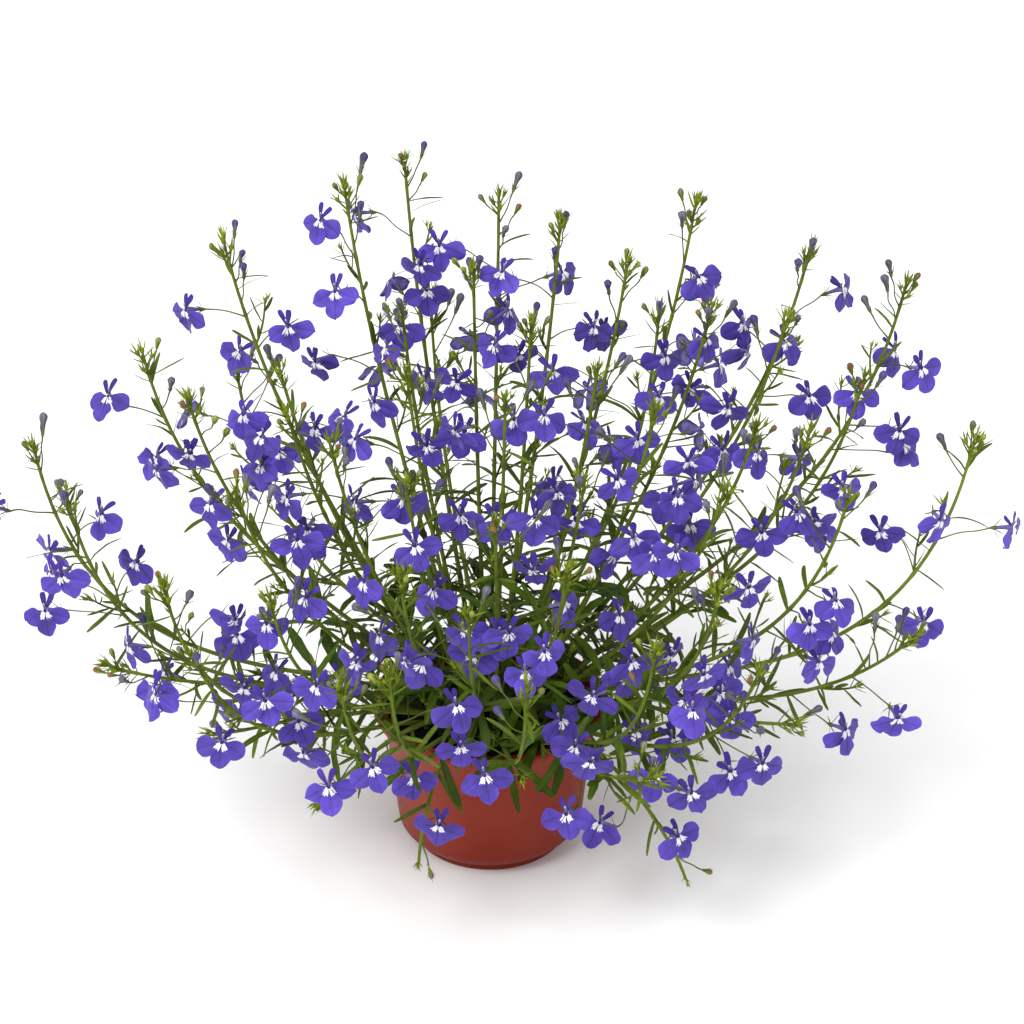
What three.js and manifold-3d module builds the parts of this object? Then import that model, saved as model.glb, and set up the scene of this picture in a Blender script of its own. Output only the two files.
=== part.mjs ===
// A trailing lobelia in its round plastic grower's pot. Millimetres, +Z up; the origin is the centre
// of the pot's underside, and -Y is the plant's show side.
//
// The plant is a fan of leafy flowering stems that rise from one crown, lean over the pot's rim and
// turn up at their ends. Every stem is one solid: its leaves, flower stalks, blooms and buds grow
// out of its skin. A bloom is a short tube with a wide three-lobed lower lip and two narrow upright
// upper lobes. The compost has a plain hole for the foot of each stem.
import * as THREE from "three";
import { mergeVertices } from "three/addons/utils/BufferGeometryUtils.js";
import Module from "manifold-3d";

const wasm = await Module();
wasm.setup();

// ------------------------------------------------------------------ driving dimensions
const POT = {
  height: 70,
  rimRadius: 52.5, // widest point of the rolled rim
  mouthRadius: 46.6, // inner edge of the rim's flat lip
  collarHeight: 53, // the wall is straight below this and flares out above it
  collarRadius: 46,
  shoulderHeight: 9, // the wall turns in below this
  shoulderRadius: 41,
  footHeight: 2.5,
  footRadius: 33.5,
  footRingInner: 27,
  padRadius: 9, // flat middle of the underside
  recess: 1.4, // how far the underside rises between pad and foot ring
  wall: 1.2,
  floor: 3.4, // top of the pot's floor inside
  sides: 24,
};
const DRAIN = { count: 6, circle: 19, radius: 3, sides: 6 };
const SOIL = { top: 58, bottom: 6, gap: 0.3, sides: 16 };

const STEM = {
  footRadius: 1.3, // at the crown
  endRadius: 0.8, // below the top buds
  pegDepth: 8, // how deep the stem stands in the compost
  rise: 2.5, // the stem leans once it is this far above the compost
  socket: 1.7, // height of the place on the skin that a leaf or a stalk grows from
  longestSpan: 34, // distance that the stem's skin may run without a ring
  topLength: 4.5, // the cluster of buds at the very end
  topRadius: 1.5,
  samples: 40, // steps along the centreline that distances are measured on
};
const BLOOM = {
  lobe: 12.2, // throat to the end of a lower lobe
  shoulder: 8.9, // throat to a lower lobe's shoulders
  shoulderTurn: 27, // degrees either side of the lobe's middle
  notch: 3.8, // throat to the bottom of the gap between lower lobes
  sideTurn: 68, // degrees from the middle lobe to a side lobe
  upper: 8.8, // throat to the end of an upper lobe
  upperTurn: 19, // degrees between an upper lobe and upright
  tube: 8.5,
  tubeRadius: 1.5,
  calyxRadius: 1.1,
  backset: 1.9, // how far the tube's mouth lies behind the lobes
  reflex: 1.1, // how far a lobe's end bends back
};
const BUD = { length: 6, radius: 1.35, calyxRadius: 0.75 };
const LEAF = {
  ridge: 0.65, // thickness at the midrib
  arch: 0.12, // how far the edges hang, as a share of the half width
  leastWidth: 1.4,
};

const CLEARANCE = 0.8; // least gap kept between two pieces
const TURN = 137.5; // degrees round the stem from one joint to the next
const CORNERS = 3; // a stem, a stalk or a leaf has a three-cornered section

// ------------------------------------------------------------------ where the stems end
// Each row is a stem's tip [x, y, z] and the number of its open blooms.
const STEM_TIPS = [
  // left side, from the outermost in
  [-195, 0, 196, 4], [-178, -30, 188, 3], [-164, -36, 108, 3], [-136, -60, 162, 3],
  [-123, -84, 142, 3], [-118, -66, 92, 3], [-127, -10, 224, 3], [-150, 36, 222, 3],
  [-115, 62, 262, 4], [-90, 22, 222, 3], [-105, -45, 198, 3], [-90, -82, 168, 2],
  // right side, from the outermost in
  [206, -10, 204, 4], [180, 45, 252, 4], [180, -58, 136, 3], [140, 72, 255, 4],
  [128, 30, 242, 3], [136, -12, 210, 4], [150, -48, 198, 4], [130, -70, 100, 4],
  [98, -50, 202, 4], [95, -88, 176, 4],
  // top and middle
  [-64, 95, 275, 4], [-38, 116, 278, 4], [4, 108, 265, 3], [31, 84, 263, 3],
  [60, 62, 253, 3], [91, 102, 263, 4], [-38, 46, 239, 3], [-7, 66, 249, 3],
  [96, 40, 242, 3], [18, 26, 242, 3], [-35, 2, 230, 3], [46, -6, 236, 3],
  [7, -26, 232, 3], [70, -24, 226, 3], [-85, -12, 218, 2], [-66, -36, 216, 3],
  [-34, -52, 206, 3], [40, -52, 208, 3],
  // front, lower
  [3, -72, 198, 3], [-36, -92, 186, 4], [-60, -112, 146, 2], [-8, -104, 174, 4],
  [32, -88, 184, 3], [68, -112, 162, 3], [68, -126, 110, 3], [-40, -122, 156, 2],
  [-30, -92, 44, 1], [84, -96, 38, 3], [-72, -84, 70, 2],
  // back, lower
  [-28, 148, 196, 4], [78, 144, 190, 4], [-116, 108, 180, 3],
  // between the others
  [160, 12, 222, 3], [112, -32, 222, 4], [16, -116, 146, 4], [112, -98, 144, 4],
];

// How a stem leaves the crown and how it ends, by the slope of the straight line from foot to tip.
// start and end are slopes in degrees; startPull and endPull are how far the stem keeps them, as
// shares of the straight distance.
const HABITS = [
  { slope: -10, start: 62, end: -60, startPull: 0.36, endPull: 0.34 },
  { slope: 12, start: 60, end: -8, startPull: 0.36, endPull: 0.34 },
  { slope: 26, start: 60, end: 54, startPull: 0.24, endPull: 0.5 },
  { slope: 38, start: 60, end: 82, startPull: 0.21, endPull: 0.68 },
  { slope: 60, start: 48, end: 76, startPull: 0.34, endPull: 0.36 },
  { slope: 85, start: 82, end: 86, startPull: 0.34, endPull: 0.36 },
];

// ------------------------------------------------------------------ small helpers
const vec = (x, y, z) => new THREE.Vector3(x, y, z);
const radians = THREE.MathUtils.degToRad;
const UP = vec(0, 0, 1);

// The sum of vectors times factors: mix([a, 2], [b, -1]) is 2a - b.
function mix(...terms) {
  const sum = vec(0, 0, 0);
  for (const [v, factor] of terms) sum.addScaledVector(v, factor);
  return sum;
}

const between = (a, b, share) => mix([a, 1 - share], [b, share]);
const course = (from, to) => mix([to, 1], [from, -1]).normalize();

// A repeatable series of numbers: each call gives the next one between low and high.
function draws(seed) {
  let state = seed * 7919 + 17;
  const next = () => {
    state = (state * 1664525 + 1013904223) % 4294967296;
    return state / 4294967296;
  };
  next();
  next();
  return (low, high) => low + (high - low) * next();
}

// The habit for a slope, worked out between its neighbours in HABITS.
function habitAt(slope) {
  const last = HABITS.length - 1;
  const held = Math.min(Math.max(slope, HABITS[0].slope), HABITS[last].slope);
  let upper = 1;
  while (upper < last && HABITS[upper].slope < held) upper += 1;
  const a = HABITS[upper - 1];
  const b = HABITS[upper];
  const share = (held - a.slope) / (b.slope - a.slope);
  const value = (key) => a[key] + (b[key] - a[key]) * share;
  return {
    start: radians(value("start")),
    end: radians(value("end")),
    startPull: value("startPull"),
    endPull: value("endPull"),
  };
}

// ------------------------------------------------------------------ the space that is taken
// Pieces are tested as strings of balls, kept in the cells of a grid.
const CELL = 8;
const GRID_SHIFT = 200; // keeps cell numbers above zero
const GRID_SPAN = 1024;
const taken = new Map();

const cellKey = (i, j, k) => (i * GRID_SPAN + j) * GRID_SPAN + k;
const cellOf = (value) => Math.floor(value / CELL) + GRID_SHIFT;

function keep(balls) {
  for (const ball of balls) {
    const key = cellKey(cellOf(ball.at.x), cellOf(ball.at.y), cellOf(ball.at.z));
    if (!taken.has(key)) taken.set(key, []);
    taken.get(key).push(ball);
  }
}

// Clear of the pot, of the compost and of the surface that the pot stands on.
function clearOfPot({ at, radius }) {
  const out = Math.sqrt(at.x * at.x + at.y * at.y);
  if (at.z - radius < 2) return false;
  if (at.z - radius > POT.height + 0.8) return true;
  const inside = out + radius < POT.mouthRadius - POT.wall - 2 && at.z - radius > SOIL.top + 0.5;
  return inside || out - radius > POT.rimRadius + 0.8;
}

function touches(a, b) {
  const reach = a.radius + b.radius + CLEARANCE;
  const dx = a.at.x - b.at.x;
  const dy = a.at.y - b.at.y;
  const dz = a.at.z - b.at.z;
  return dx * dx + dy * dy + dz * dz < reach * reach;
}

function isClear(balls) {
  for (const ball of balls) {
    if (!clearOfPot(ball)) return false;
    const i = cellOf(ball.at.x);
    const j = cellOf(ball.at.y);
    const k = cellOf(ball.at.z);
    for (let x = i - 1; x <= i + 1; x += 1)
      for (let y = j - 1; y <= j + 1; y += 1)
        for (let z = k - 1; z <= k + 1; z += 1)
          for (const other of taken.get(cellKey(x, y, z)) ?? [])
            if (touches(ball, other)) return false;
  }
  return true;
}

// ------------------------------------------------------------------ centrelines of the stems
const FOOT_SPACING = 4.7; // least distance between two stems' feet
const FOOT_LIMIT = 38; // feet stay this close to the middle

// A stem's foot lies under its tip, drawn in to the crown; feet too close together move apart.
function placeFeet() {
  const feet = STEM_TIPS.map(([x, y, z]) => {
    const share = 0.1988 - 0.0003 * z;
    return vec(x * share, y * share, SOIL.top + STEM.rise);
  });
  for (let round = 0; round < 60; round += 1)
    for (let i = 0; i < feet.length; i += 1)
      for (let j = 0; j < i; j += 1) {
        const dx = feet[i].x - feet[j].x;
        const dy = feet[i].y - feet[j].y;
        const apart = Math.sqrt(dx * dx + dy * dy);
        if (apart >= FOOT_SPACING) continue;
        const push = (FOOT_SPACING - apart) / (2 * apart);
        feet[i].x += dx * push;
        feet[i].y += dy * push;
        feet[j].x -= dx * push;
        feet[j].y -= dy * push;
      }
  for (const foot of feet) {
    const out = Math.sqrt(foot.x * foot.x + foot.y * foot.y);
    if (out > FOOT_LIMIT) {
      foot.x *= FOOT_LIMIT / out;
      foot.y *= FOOT_LIMIT / out;
    }
  }
  return feet;
}

// A point of the cubic curve through the four control points.
function bezier(points, t) {
  const s = 1 - t;
  return mix(
    [points[0], s * s * s],
    [points[1], 3 * s * s * t],
    [points[2], 3 * s * t * t],
    [points[3], t * t * t],
  );
}

// The direction with a bearing round +Z and a slope above level, both in radians.
function heading(bearing, slope) {
  const level = Math.cos(slope);
  return vec(Math.cos(bearing) * level, Math.sin(bearing) * level, Math.sin(slope));
}

// The centreline of a stem, with its distances from the tip. swirl turns its start aside.
function centreline(foot, tip, swirl) {
  const dx = tip.x - foot.x;
  const dy = tip.y - foot.y;
  const bearing = Math.atan2(dy, dx);
  const straight = foot.distanceTo(tip);
  const slope = Math.atan2(tip.z - foot.z, Math.sqrt(dx * dx + dy * dy));
  const habit = habitAt(THREE.MathUtils.radToDeg(slope));
  const controls = [
    foot,
    mix([foot, 1], [heading(bearing + swirl, habit.start), straight * habit.startPull]),
    mix([tip, 1], [heading(bearing - 0.5 * swirl, habit.end), -straight * habit.endPull]),
    tip,
  ];
  const points = [];
  for (let n = 0; n <= STEM.samples; n += 1) points.push(bezier(controls, n / STEM.samples));
  const fromTip = [0];
  for (let n = STEM.samples - 1; n >= 0; n -= 1)
    fromTip.unshift(fromTip[0] + points[n].distanceTo(points[n + 1]));
  return { bearing, points, fromTip, length: fromTip[0] };
}

// The point of a centreline at a distance from its tip, with the axes of the section there:
// ahead runs along the stem, across is level, and over completes them.
function along(line, distance) {
  let n = 1;
  while (n < STEM.samples && line.fromTip[n] > distance) n += 1;
  const span = line.fromTip[n - 1] - line.fromTip[n];
  const from = line.points[n - 1];
  const to = line.points[n];
  const ahead = course(from, to);
  const level = vec(-Math.sin(line.bearing), Math.cos(line.bearing), 0);
  const across = mix([level, 1], [ahead, -level.dot(ahead)]).normalize();
  const over = ahead.clone().cross(across);
  return { at: between(from, to, (line.fromTip[n - 1] - distance) / span), ahead, across, over };
}

// The direction square to a section's course at an angle round it.
const sideways = (section, angle) =>
  mix([section.across, Math.cos(angle)], [section.over, Math.sin(angle)]);

function stemRadius(line, distance) {
  const share = Math.min(distance / line.length, 1);
  return STEM.endRadius + (STEM.footRadius - STEM.endRadius) * share;
}

const BALL_STEP = 3; // distance between the balls along a stem

function stemBalls(line) {
  const balls = [];
  for (let distance = 0; distance < line.length; distance += BALL_STEP)
    balls.push({ at: along(line, distance).at, radius: stemRadius(line, distance) });
  return balls;
}

const SWIRLS = [0, 1, -1, 2, -2, 3, -3, 4, -4, 5, -5]; // tried in turn, in steps of SWIRL_STEP
const SWIRL_STEP = 0.075;

function growStems() {
  const feet = placeFeet();
  return STEM_TIPS.map(([x, y, z, blooms], order) => {
    const draw = draws(order + 1);
    const lean = draw(-0.16, 0.16);
    let line = null;
    for (const step of SWIRLS) {
      line = centreline(feet[order], vec(x, y, z), lean + step * SWIRL_STEP);
      if (isClear(stemBalls(line))) break;
    }
    keep(stemBalls(line));
    return { order, line, blooms, turn: draw(0, 360), joints: [] };
  });
}

// ------------------------------------------------------------------ stalks and blooms
// A point of a curve with a joint, a bend and an end.
function onCurve({ joint, bend, end }, t) {
  const s = 1 - t;
  return mix([joint, s * s], [bend, 2 * s * t], [end, t * t]);
}

const WHOLE_SHOW = 65; // blooms no further back than this turn to the show side
const NO_SHOW = 125; // blooms further back than this look outwards

// How far a point takes part in facing the show side: 1 in front, 0 low at the back.
function showing(at) {
  const behind = at.y - 0.45 * (at.z - 146);
  return Math.min(Math.max((NO_SHOW - behind) / (NO_SHOW - WHOLE_SHOW), 0), 1);
}

// The axes of a bloom's face: normal points out of the throat, up to between the upper lobes.
function turnFace(at, side, draw) {
  const front = showing(at);
  const out = Math.sqrt(at.x * at.x + at.y * at.y) + 1;
  const facing = vec(
    (at.x / out) * (1 - 0.3 * front) + 0.45 * side.x + draw(-0.8, 0.8),
    (at.y / out) * (1 - 0.75 * front) - 1.15 * front + 0.3 * side.y + draw(-0.3, 0.3),
    0,
  ).normalize();
  const tilt = radians(draw(-14, 48));
  const roll = radians(draw(-22, 22));
  const normal = mix([facing, Math.cos(tilt)], [UP, Math.sin(tilt)]);
  const plainRight = UP.clone().cross(facing);
  const plainUp = normal.clone().cross(plainRight);
  return {
    normal,
    right: mix([plainRight, Math.cos(roll)], [plainUp, Math.sin(roll)]),
    up: mix([plainUp, Math.cos(roll)], [plainRight, -Math.sin(roll)]),
  };
}

const LEAST_TURN_AWAY = -0.25; // cosine between a bloom's face and the course of its stalk

// A bloom's stalk runs from its joint to the calyx, its end; the tube runs from there to the throat.
function poseBloom(line, distance, angle, length, draw) {
  const section = along(line, distance);
  const side = sideways(section, angle);
  const leave = mix([section.ahead, 0.62], [side, 0.78]).normalize();
  const level = vec(side.x, side.y, 0.12 * side.z).normalize();
  const joint = section.at;
  const bend = mix([joint, 1], [leave, length * 0.58]);
  const end = mix([joint, 1], [leave, length * 0.68], [level, length * 0.3]);
  const face = turnFace(end, level, draw);
  const tube = mix([face.normal, 0.75], [level, 0.42], [face.up, 0.12]).normalize();
  const throat = mix([end, 1], [tube, BLOOM.tube]);
  const looksBack = face.normal.dot(course(joint, end)) < LEAST_TURN_AWAY;
  return { joint, bend, end, leave, tube, throat, looksBack, ...face };
}

// A point of the face: distance from the throat, degrees counter-clockwise from right, depth.
function onFace(pose, distance, degrees, depth) {
  const angle = radians(degrees);
  return mix(
    [pose.throat, 1],
    [pose.right, distance * Math.cos(angle)],
    [pose.up, distance * Math.sin(angle)],
    [pose.normal, depth],
  );
}

const LOWER_LOBES = [-90 - BLOOM.sideTurn, -90, -90 + BLOOM.sideTurn];
const UPPER_LOBES = [90 - BLOOM.upperTurn, 90 + BLOOM.upperTurn];

function bloomBalls(pose) {
  const balls = [];
  const add = (at, radius) => balls.push({ at, radius });
  for (const t of [0.25, 0.4, 0.55, 0.7, 0.85, 1]) add(onCurve(pose, t), 0.7);
  for (const share of [0.3, 0.65]) add(mix([pose.end, 1], [pose.tube, BLOOM.tube * share]), 1.5);
  add(pose.throat, 2);
  for (const turn of LOWER_LOBES) {
    add(onFace(pose, BLOOM.lobe * 0.34, turn, -0.4), 1.9);
    add(onFace(pose, BLOOM.lobe * 0.6, turn, -0.6), 2.2);
    add(onFace(pose, BLOOM.lobe * 0.86, turn, -0.9), 1.8);
    add(onFace(pose, BLOOM.shoulder * 0.9, turn - 24, -0.6), 1.8);
    add(onFace(pose, BLOOM.shoulder * 0.9, turn + 24, -0.6), 1.8);
  }
  for (const turn of UPPER_LOBES) {
    add(onFace(pose, BLOOM.upper * 0.43, turn, 0), 1.2);
    add(onFace(pose, BLOOM.upper * 0.83, turn, 0), 1.3);
  }
  return balls;
}

// ------------------------------------------------------------------ leaves and buds
// A leaf's midrib is a curve; across is the direction of its width.
function poseLeaf(line, distance, angle, length, width, lift) {
  const section = along(line, distance);
  const side = sideways(section, angle);
  const leave = mix([section.ahead, Math.cos(lift)], [side, Math.sin(lift)]);
  const joint = section.at;
  const bend = mix([joint, 1], [leave, length * 0.5]);
  const droop = 0.1 + 0.012 * width * width;
  const onward = mix([leave, 0.55], [side, 0.35], [UP, -droop]).normalize();
  const end = mix([bend, 1], [onward, length * 0.52]);
  const across = course(joint, end).cross(mix([section.ahead, 0.7], [UP, 0.7])).normalize();
  return { joint, bend, end, leave, across, length, width };
}

function leafBalls(pose) {
  return [0.2, 0.36, 0.52, 0.68, 0.84, 1].map((t) => ({
    at: onCurve(pose, t),
    radius: 0.6 + 0.5 * (pose.width - 1) * Math.sin(Math.PI * t * 0.85),
  }));
}

// A stalked bud: a slim calyx and a closed flower, standing nearly along its stem.
function poseBud(line, distance, angle, length, spread) {
  const section = along(line, distance);
  const side = sideways(section, angle);
  const leave = mix([section.ahead, Math.cos(spread)], [side, Math.sin(spread)]);
  const upward = mix([leave, 0.8], [UP, 0.45]).normalize();
  const joint = section.at;
  const bend = mix([joint, 1], [leave, length * 0.55]);
  const end = mix([joint, 1], [leave, length * 0.6], [upward, length * 0.4]);
  return { joint, bend, end, leave, upward };
}

function budBalls(pose) {
  const balls = [0.3, 0.6, 1].map((t) => ({ at: onCurve(pose, t), radius: 0.6 }));
  for (const share of [0.4, 0.8])
    balls.push({ at: mix([pose.end, 1], [pose.upward, BUD.length * share]), radius: 1.4 });
  return balls;
}

// ------------------------------------------------------------------ dressing the stems
const THIRD = (2 * Math.PI) / CORNERS;
const TRIES = 14;
const TRY_STEP = 53; // degrees round the stem from one try to the next

// Tries the places that pose() makes and takes the first that is clear. A joint's first piece may
// grow at any angle round the stem, and the next ones a third of a turn from it.
function settle(joint, kind, turn, pose, balls) {
  const [first] = joint.pieces;
  for (let attempt = 0; attempt < TRIES; attempt += 1) {
    const angle = first ? first.angle + THIRD * (1 + (attempt % 2)) : radians(turn + attempt * TRY_STEP);
    const made = pose(angle, attempt);
    const string = balls(made);
    if (made.looksBack || !isClear(string)) continue;
    keep(string);
    joint.pieces.push({ kind, angle, ...made });
    return;
  }
}

const TOP_JOINT = 12; // distance from the tip to the first joint
// A stem's first bloom is NEAREST_BLOOM and BLOOM_SHARE of the stem's length below its tip.
const NEAREST_BLOOM = 20;
const BLOOM_SHARE = 0.07;
const BLOOM_SPACING = 16;
const LEAF_SPACING = 38;
const LOWEST_JOINT = 13; // distance from the crown

// A stem's joints from the top down: the buds' one, those of the blooms, and those of the leaves.
function placeJoints(stem) {
  const draw = draws(700 + stem.order);
  const first = NEAREST_BLOOM + BLOOM_SHARE * stem.line.length;
  const rank = (distance, kind) =>
    stem.joints.push({ distance, kind, turn: stem.turn + stem.joints.length * TURN, pieces: [] });
  rank(TOP_JOINT + draw(-2, 2), "bud");
  for (let n = 0; n < stem.blooms; n += 1)
    rank(first + BLOOM_SPACING * n + draw(-4, 4), "bloom");
  const start = first + BLOOM_SPACING * stem.blooms;
  const room = stem.line.length - LOWEST_JOINT - start;
  const spaces = Math.max(1, Math.round(room / LEAF_SPACING));
  for (let n = 0; n <= spaces; n += 1) rank(start + (room * n) / spaces, "leaf");
}

function addBloom(stem, joint, rank) {
  const draw = draws(1000 + stem.order * 20 + rank);
  const length = 20 + 1.6 * rank + draw(-2, 4);
  const pose = (angle, attempt) =>
    poseBloom(stem.line, joint.distance, angle, length * (1 - 0.03 * (attempt % 5)), draw);
  settle(joint, "bloom", joint.turn, pose, bloomBalls);
}

function addBud(stem, joint) {
  const draw = draws(3000 + stem.order);
  const length = 15 + draw(-3, 3);
  const pose = (angle) => poseBud(stem.line, joint.distance, angle, length, radians(34));
  settle(joint, "bud", joint.turn, pose, budBalls);
}

// Leaves get broader and longer from the top of the stem to its foot.
function addLeaf(stem, joint, rank) {
  const draw = draws(5000 + stem.order * 20 + rank);
  const share = Math.min(joint.distance / stem.line.length, 1);
  const length = (13 + 16 * share) * draw(0.85, 1.15);
  const width = 1.5 + 5 * share * share;
  const pose = (angle, attempt) => {
    const shorter = length * (1 - 0.035 * attempt);
    return poseLeaf(stem.line, joint.distance, angle, shorter, width, radians(52 + 3 * attempt));
  };
  settle(joint, "leaf", joint.turn, pose, leafBalls);
}

// Buds take their places first, then the blooms, then two leaves at each leaf joint, and last one
// leaf at the stalk of each stem's uppermost bloom.
function growPlant() {
  const stems = growStems();
  stems.forEach(placeJoints);
  const visit = (kind, add) => {
    const most = Math.max(...stems.map((stem) => stem.joints.length));
    for (let rank = 0; rank < most; rank += 1)
      for (const stem of stems)
        if (stem.joints[rank]?.kind === kind) add(stem, stem.joints[rank], rank);
  };
  visit("bud", addBud);
  visit("bloom", addBloom);
  visit("leaf", addLeaf);
  visit("leaf", addLeaf);
  visit("bloom", (stem, joint, rank) => {
    if (rank === 1) addLeaf(stem, joint, rank);
  });
  return stems;
}

// ------------------------------------------------------------------ skins
// A closed surface made corner by corner. A ring is a list of corner numbers, counter-clockwise
// as seen from where the surface grows to.
class Skin {
  corners = [];
  faces = [];

  add(...points) {
    const first = this.corners.length;
    this.corners.push(...points);
    return points.map((_, n) => first + n);
  }

  // The wall from ring a to ring b, each side split along its shorter diagonal. A side with a peak
  // in peaks is left open between ring a and that peak, for what grows out there.
  wall(a, b, peaks = []) {
    a.forEach((low, n) => {
      const nextLow = a[(n + 1) % a.length];
      const high = b[n];
      const nextHigh = b[(n + 1) % b.length];
      const peak = peaks[n];
      if (peak !== undefined)
        this.faces.push([low, peak, high], [peak, nextHigh, high], [peak, nextLow, nextHigh]);
      else if (this.apart(low, nextHigh) < this.apart(nextLow, high))
        this.faces.push([low, nextLow, nextHigh], [low, nextHigh, high]);
      else this.faces.push([low, nextLow, high], [nextLow, nextHigh, high]);
    });
  }

  apart(one, other) {
    return this.corners[one].distanceTo(this.corners[other]);
  }

  fan(ring, tip) {
    ring.forEach((corner, n) => this.faces.push([corner, ring[(n + 1) % ring.length], tip]));
  }

  middle(ring) {
    return mix(...ring.map((corner) => [this.corners[corner], 1 / ring.length]));
  }

  geometry() {
    const positions = this.corners.flatMap(({ x, y, z }) => [x, y, z]);
    const geometry = new THREE.BufferGeometry();
    geometry.setAttribute("position", new THREE.Float32BufferAttribute(positions, 3));
    geometry.setIndex(this.faces.flat());
    geometry.computeVertexNormals();
    return geometry;
  }
}

// v carried along by the shortest turn that takes direction a to direction b.
function carried(v, a, b) {
  const sum = mix([a, 1], [b, 1]);
  return mix([v, 1], [sum, -v.dot(sum) / (1 + a.dot(b))], [b, 2 * v.dot(a)]);
}

// The spokes of a root: the directions of its corners from its middle, square to a course.
function rootSpokes(skin, root, ahead) {
  const middle = skin.middle(root);
  return root.map((corner) => {
    const out = mix([skin.corners[corner], 1], [middle, -1]);
    return mix([out, 1], [ahead, -out.dot(ahead)]).normalize();
  });
}

// The three spokes evened out about the same mean turn.
function evened(spokes, ahead) {
  const right = spokes[0];
  const up = ahead.clone().cross(right);
  const lag = [1, 2].map((n) => {
    const angle = Math.atan2(spokes[n].dot(up), spokes[n].dot(right));
    return (angle < 0 ? angle + 2 * Math.PI : angle) - (2 * Math.PI * n) / CORNERS;
  });
  const first = (lag[0] + lag[1]) / CORNERS;
  return spokes.map((_, n) => {
    const angle = first + (2 * Math.PI * n) / CORNERS;
    return mix([right, Math.cos(angle)], [up, Math.sin(angle)]);
  });
}

const onSpokes = (centre, spokes, radius) => spokes.map((spoke) => mix([centre, 1], [spoke, radius]));

// targets shifted round so that they follow the spokes with the least twist.
function leastTwist(spokes, targets, centre) {
  const fit = (shift) =>
    spokes.reduce((sum, spoke, n) => {
      const target = targets[(n + shift) % CORNERS];
      return sum + mix([target, 1], [centre, -1]).normalize().dot(spoke);
    }, 0);
  const best = [0, 1, 2].reduce((a, b) => (fit(b) > fit(a) ? b : a));
  return targets.map((_, n) => targets[(n + best) % CORNERS]);
}

// The outline of a bloom's face, counter-clockwise: distance, degrees and depth of each corner.
function faceOutline() {
  const outline = [];
  LOWER_LOBES.forEach((turn, n) => {
    outline.push([BLOOM.shoulder, turn - BLOOM.shoulderTurn, -0.35]);
    outline.push([BLOOM.lobe, turn, -BLOOM.reflex]);
    outline.push([BLOOM.shoulder, turn + BLOOM.shoulderTurn, -0.35]);
    if (n < LOWER_LOBES.length - 1) outline.push([BLOOM.notch, turn + BLOOM.sideTurn / 2, -0.2]);
  });
  outline.push([2, 38, 0]);
  outline.push([BLOOM.upper, UPPER_LOBES[0], 0.3]);
  outline.push([2.2, 90, 0]);
  outline.push([BLOOM.upper, UPPER_LOBES[1], 0.3]);
  outline.push([2, 142, 0]);
  return outline;
}
const FACE_OUTLINE = faceOutline();
const MOUTH_CORNERS = [-150, -30, 90]; // degrees, as in the outline

// The outline corner's place in MOUTH_CORNERS.
const mouthCorner = (degrees) => Math.floor(((degrees + 210 + 360) % 360) / 120);

function growBloom(skin, root, pose) {
  const stalk = course(skin.middle(root), pose.end);
  const spokes = evened(rootSpokes(skin, root, stalk), stalk);
  const calyx = skin.add(...onSpokes(pose.end, spokes, BLOOM.calyxRadius));
  skin.wall(root, calyx);
  const centre = mix([pose.throat, 1], [pose.normal, -BLOOM.backset]);
  const places = MOUTH_CORNERS.map((degrees) =>
    onFace(pose, BLOOM.tubeRadius, degrees, -BLOOM.backset));
  const tube = course(pose.end, centre);
  const turned = spokes.map((spoke) => carried(spoke, stalk, tube));
  const mouth = skin.add(...leastTwist(turned, places, centre));
  skin.wall(calyx, mouth);

  const mouthAt = (degrees) => {
    const place = places[mouthCorner(degrees)];
    return mouth.find((corner) => skin.corners[corner] === place);
  };
  const edge = skin.add(...FACE_OUTLINE.map((corner) => onFace(pose, ...corner)));
  const [throat] = skin.add(mix([pose.throat, 1], [pose.normal, 0.3]));
  skin.fan(edge, throat);
  edge.forEach((corner, n) => {
    const next = (n + 1) % edge.length;
    const here = mouthAt(FACE_OUTLINE[n][1]);
    const there = mouthAt(FACE_OUTLINE[next][1]);
    skin.faces.push([here, edge[next], corner]);
    if (here !== there) skin.faces.push([here, there, edge[next]]);
  });
}

const BROAD_LEAF = 4.4; // a leaf wider than this has two sections

// A blade with a three-cornered section: two edges, and a ridge along the midrib.
function growLeaf(skin, root, pose) {
  const sections = pose.width > BROAD_LEAF ? [[0.42, 1], [0.74, 0.85]] : [[0.5, 1]];
  let last = root;
  let spokes = rootSpokes(skin, root, course(skin.middle(root), onCurve(pose, sections[0][0])));
  for (const [t, share] of sections) {
    const centre = onCurve(pose, t);
    const half = 0.5 * Math.max(pose.width * share, LEAF.leastWidth);
    const ahead = course(onCurve(pose, t - 0.02), onCurve(pose, t + 0.02));
    const above = pose.across.clone().cross(ahead).normalize();
    const blade = [
      mix([centre, 1], [pose.across, half], [above, -LEAF.arch * half]),
      mix([centre, 1], [pose.across, -half], [above, -LEAF.arch * half]),
      mix([centre, 1], [above, LEAF.ridge]),
    ];
    const ring = skin.add(...leastTwist(spokes, blade, centre));
    skin.wall(last, ring);
    spokes = ring.map((corner) => course(centre, skin.corners[corner]));
    last = ring;
  }
  const [tip] = skin.add(pose.end);
  skin.fan(last, tip);
}

function growBud(skin, root, pose) {
  const stalk = course(skin.middle(root), pose.end);
  const spokes = evened(rootSpokes(skin, root, stalk), stalk);
  const calyx = skin.add(...onSpokes(pose.end, spokes, BUD.calyxRadius));
  skin.wall(root, calyx);
  const fullest = mix([pose.end, 1], [pose.upward, 0.6 * BUD.length]);
  const turned = spokes.map((spoke) => carried(spoke, stalk, pose.upward));
  const belly = skin.add(...onSpokes(fullest, turned, BUD.radius));
  skin.wall(calyx, belly);
  const [tip] = skin.add(mix([pose.end, 1], [pose.upward, BUD.length]));
  skin.fan(belly, tip);
}

const GROW = { bloom: growBloom, leaf: growLeaf, bud: growBud };

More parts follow.
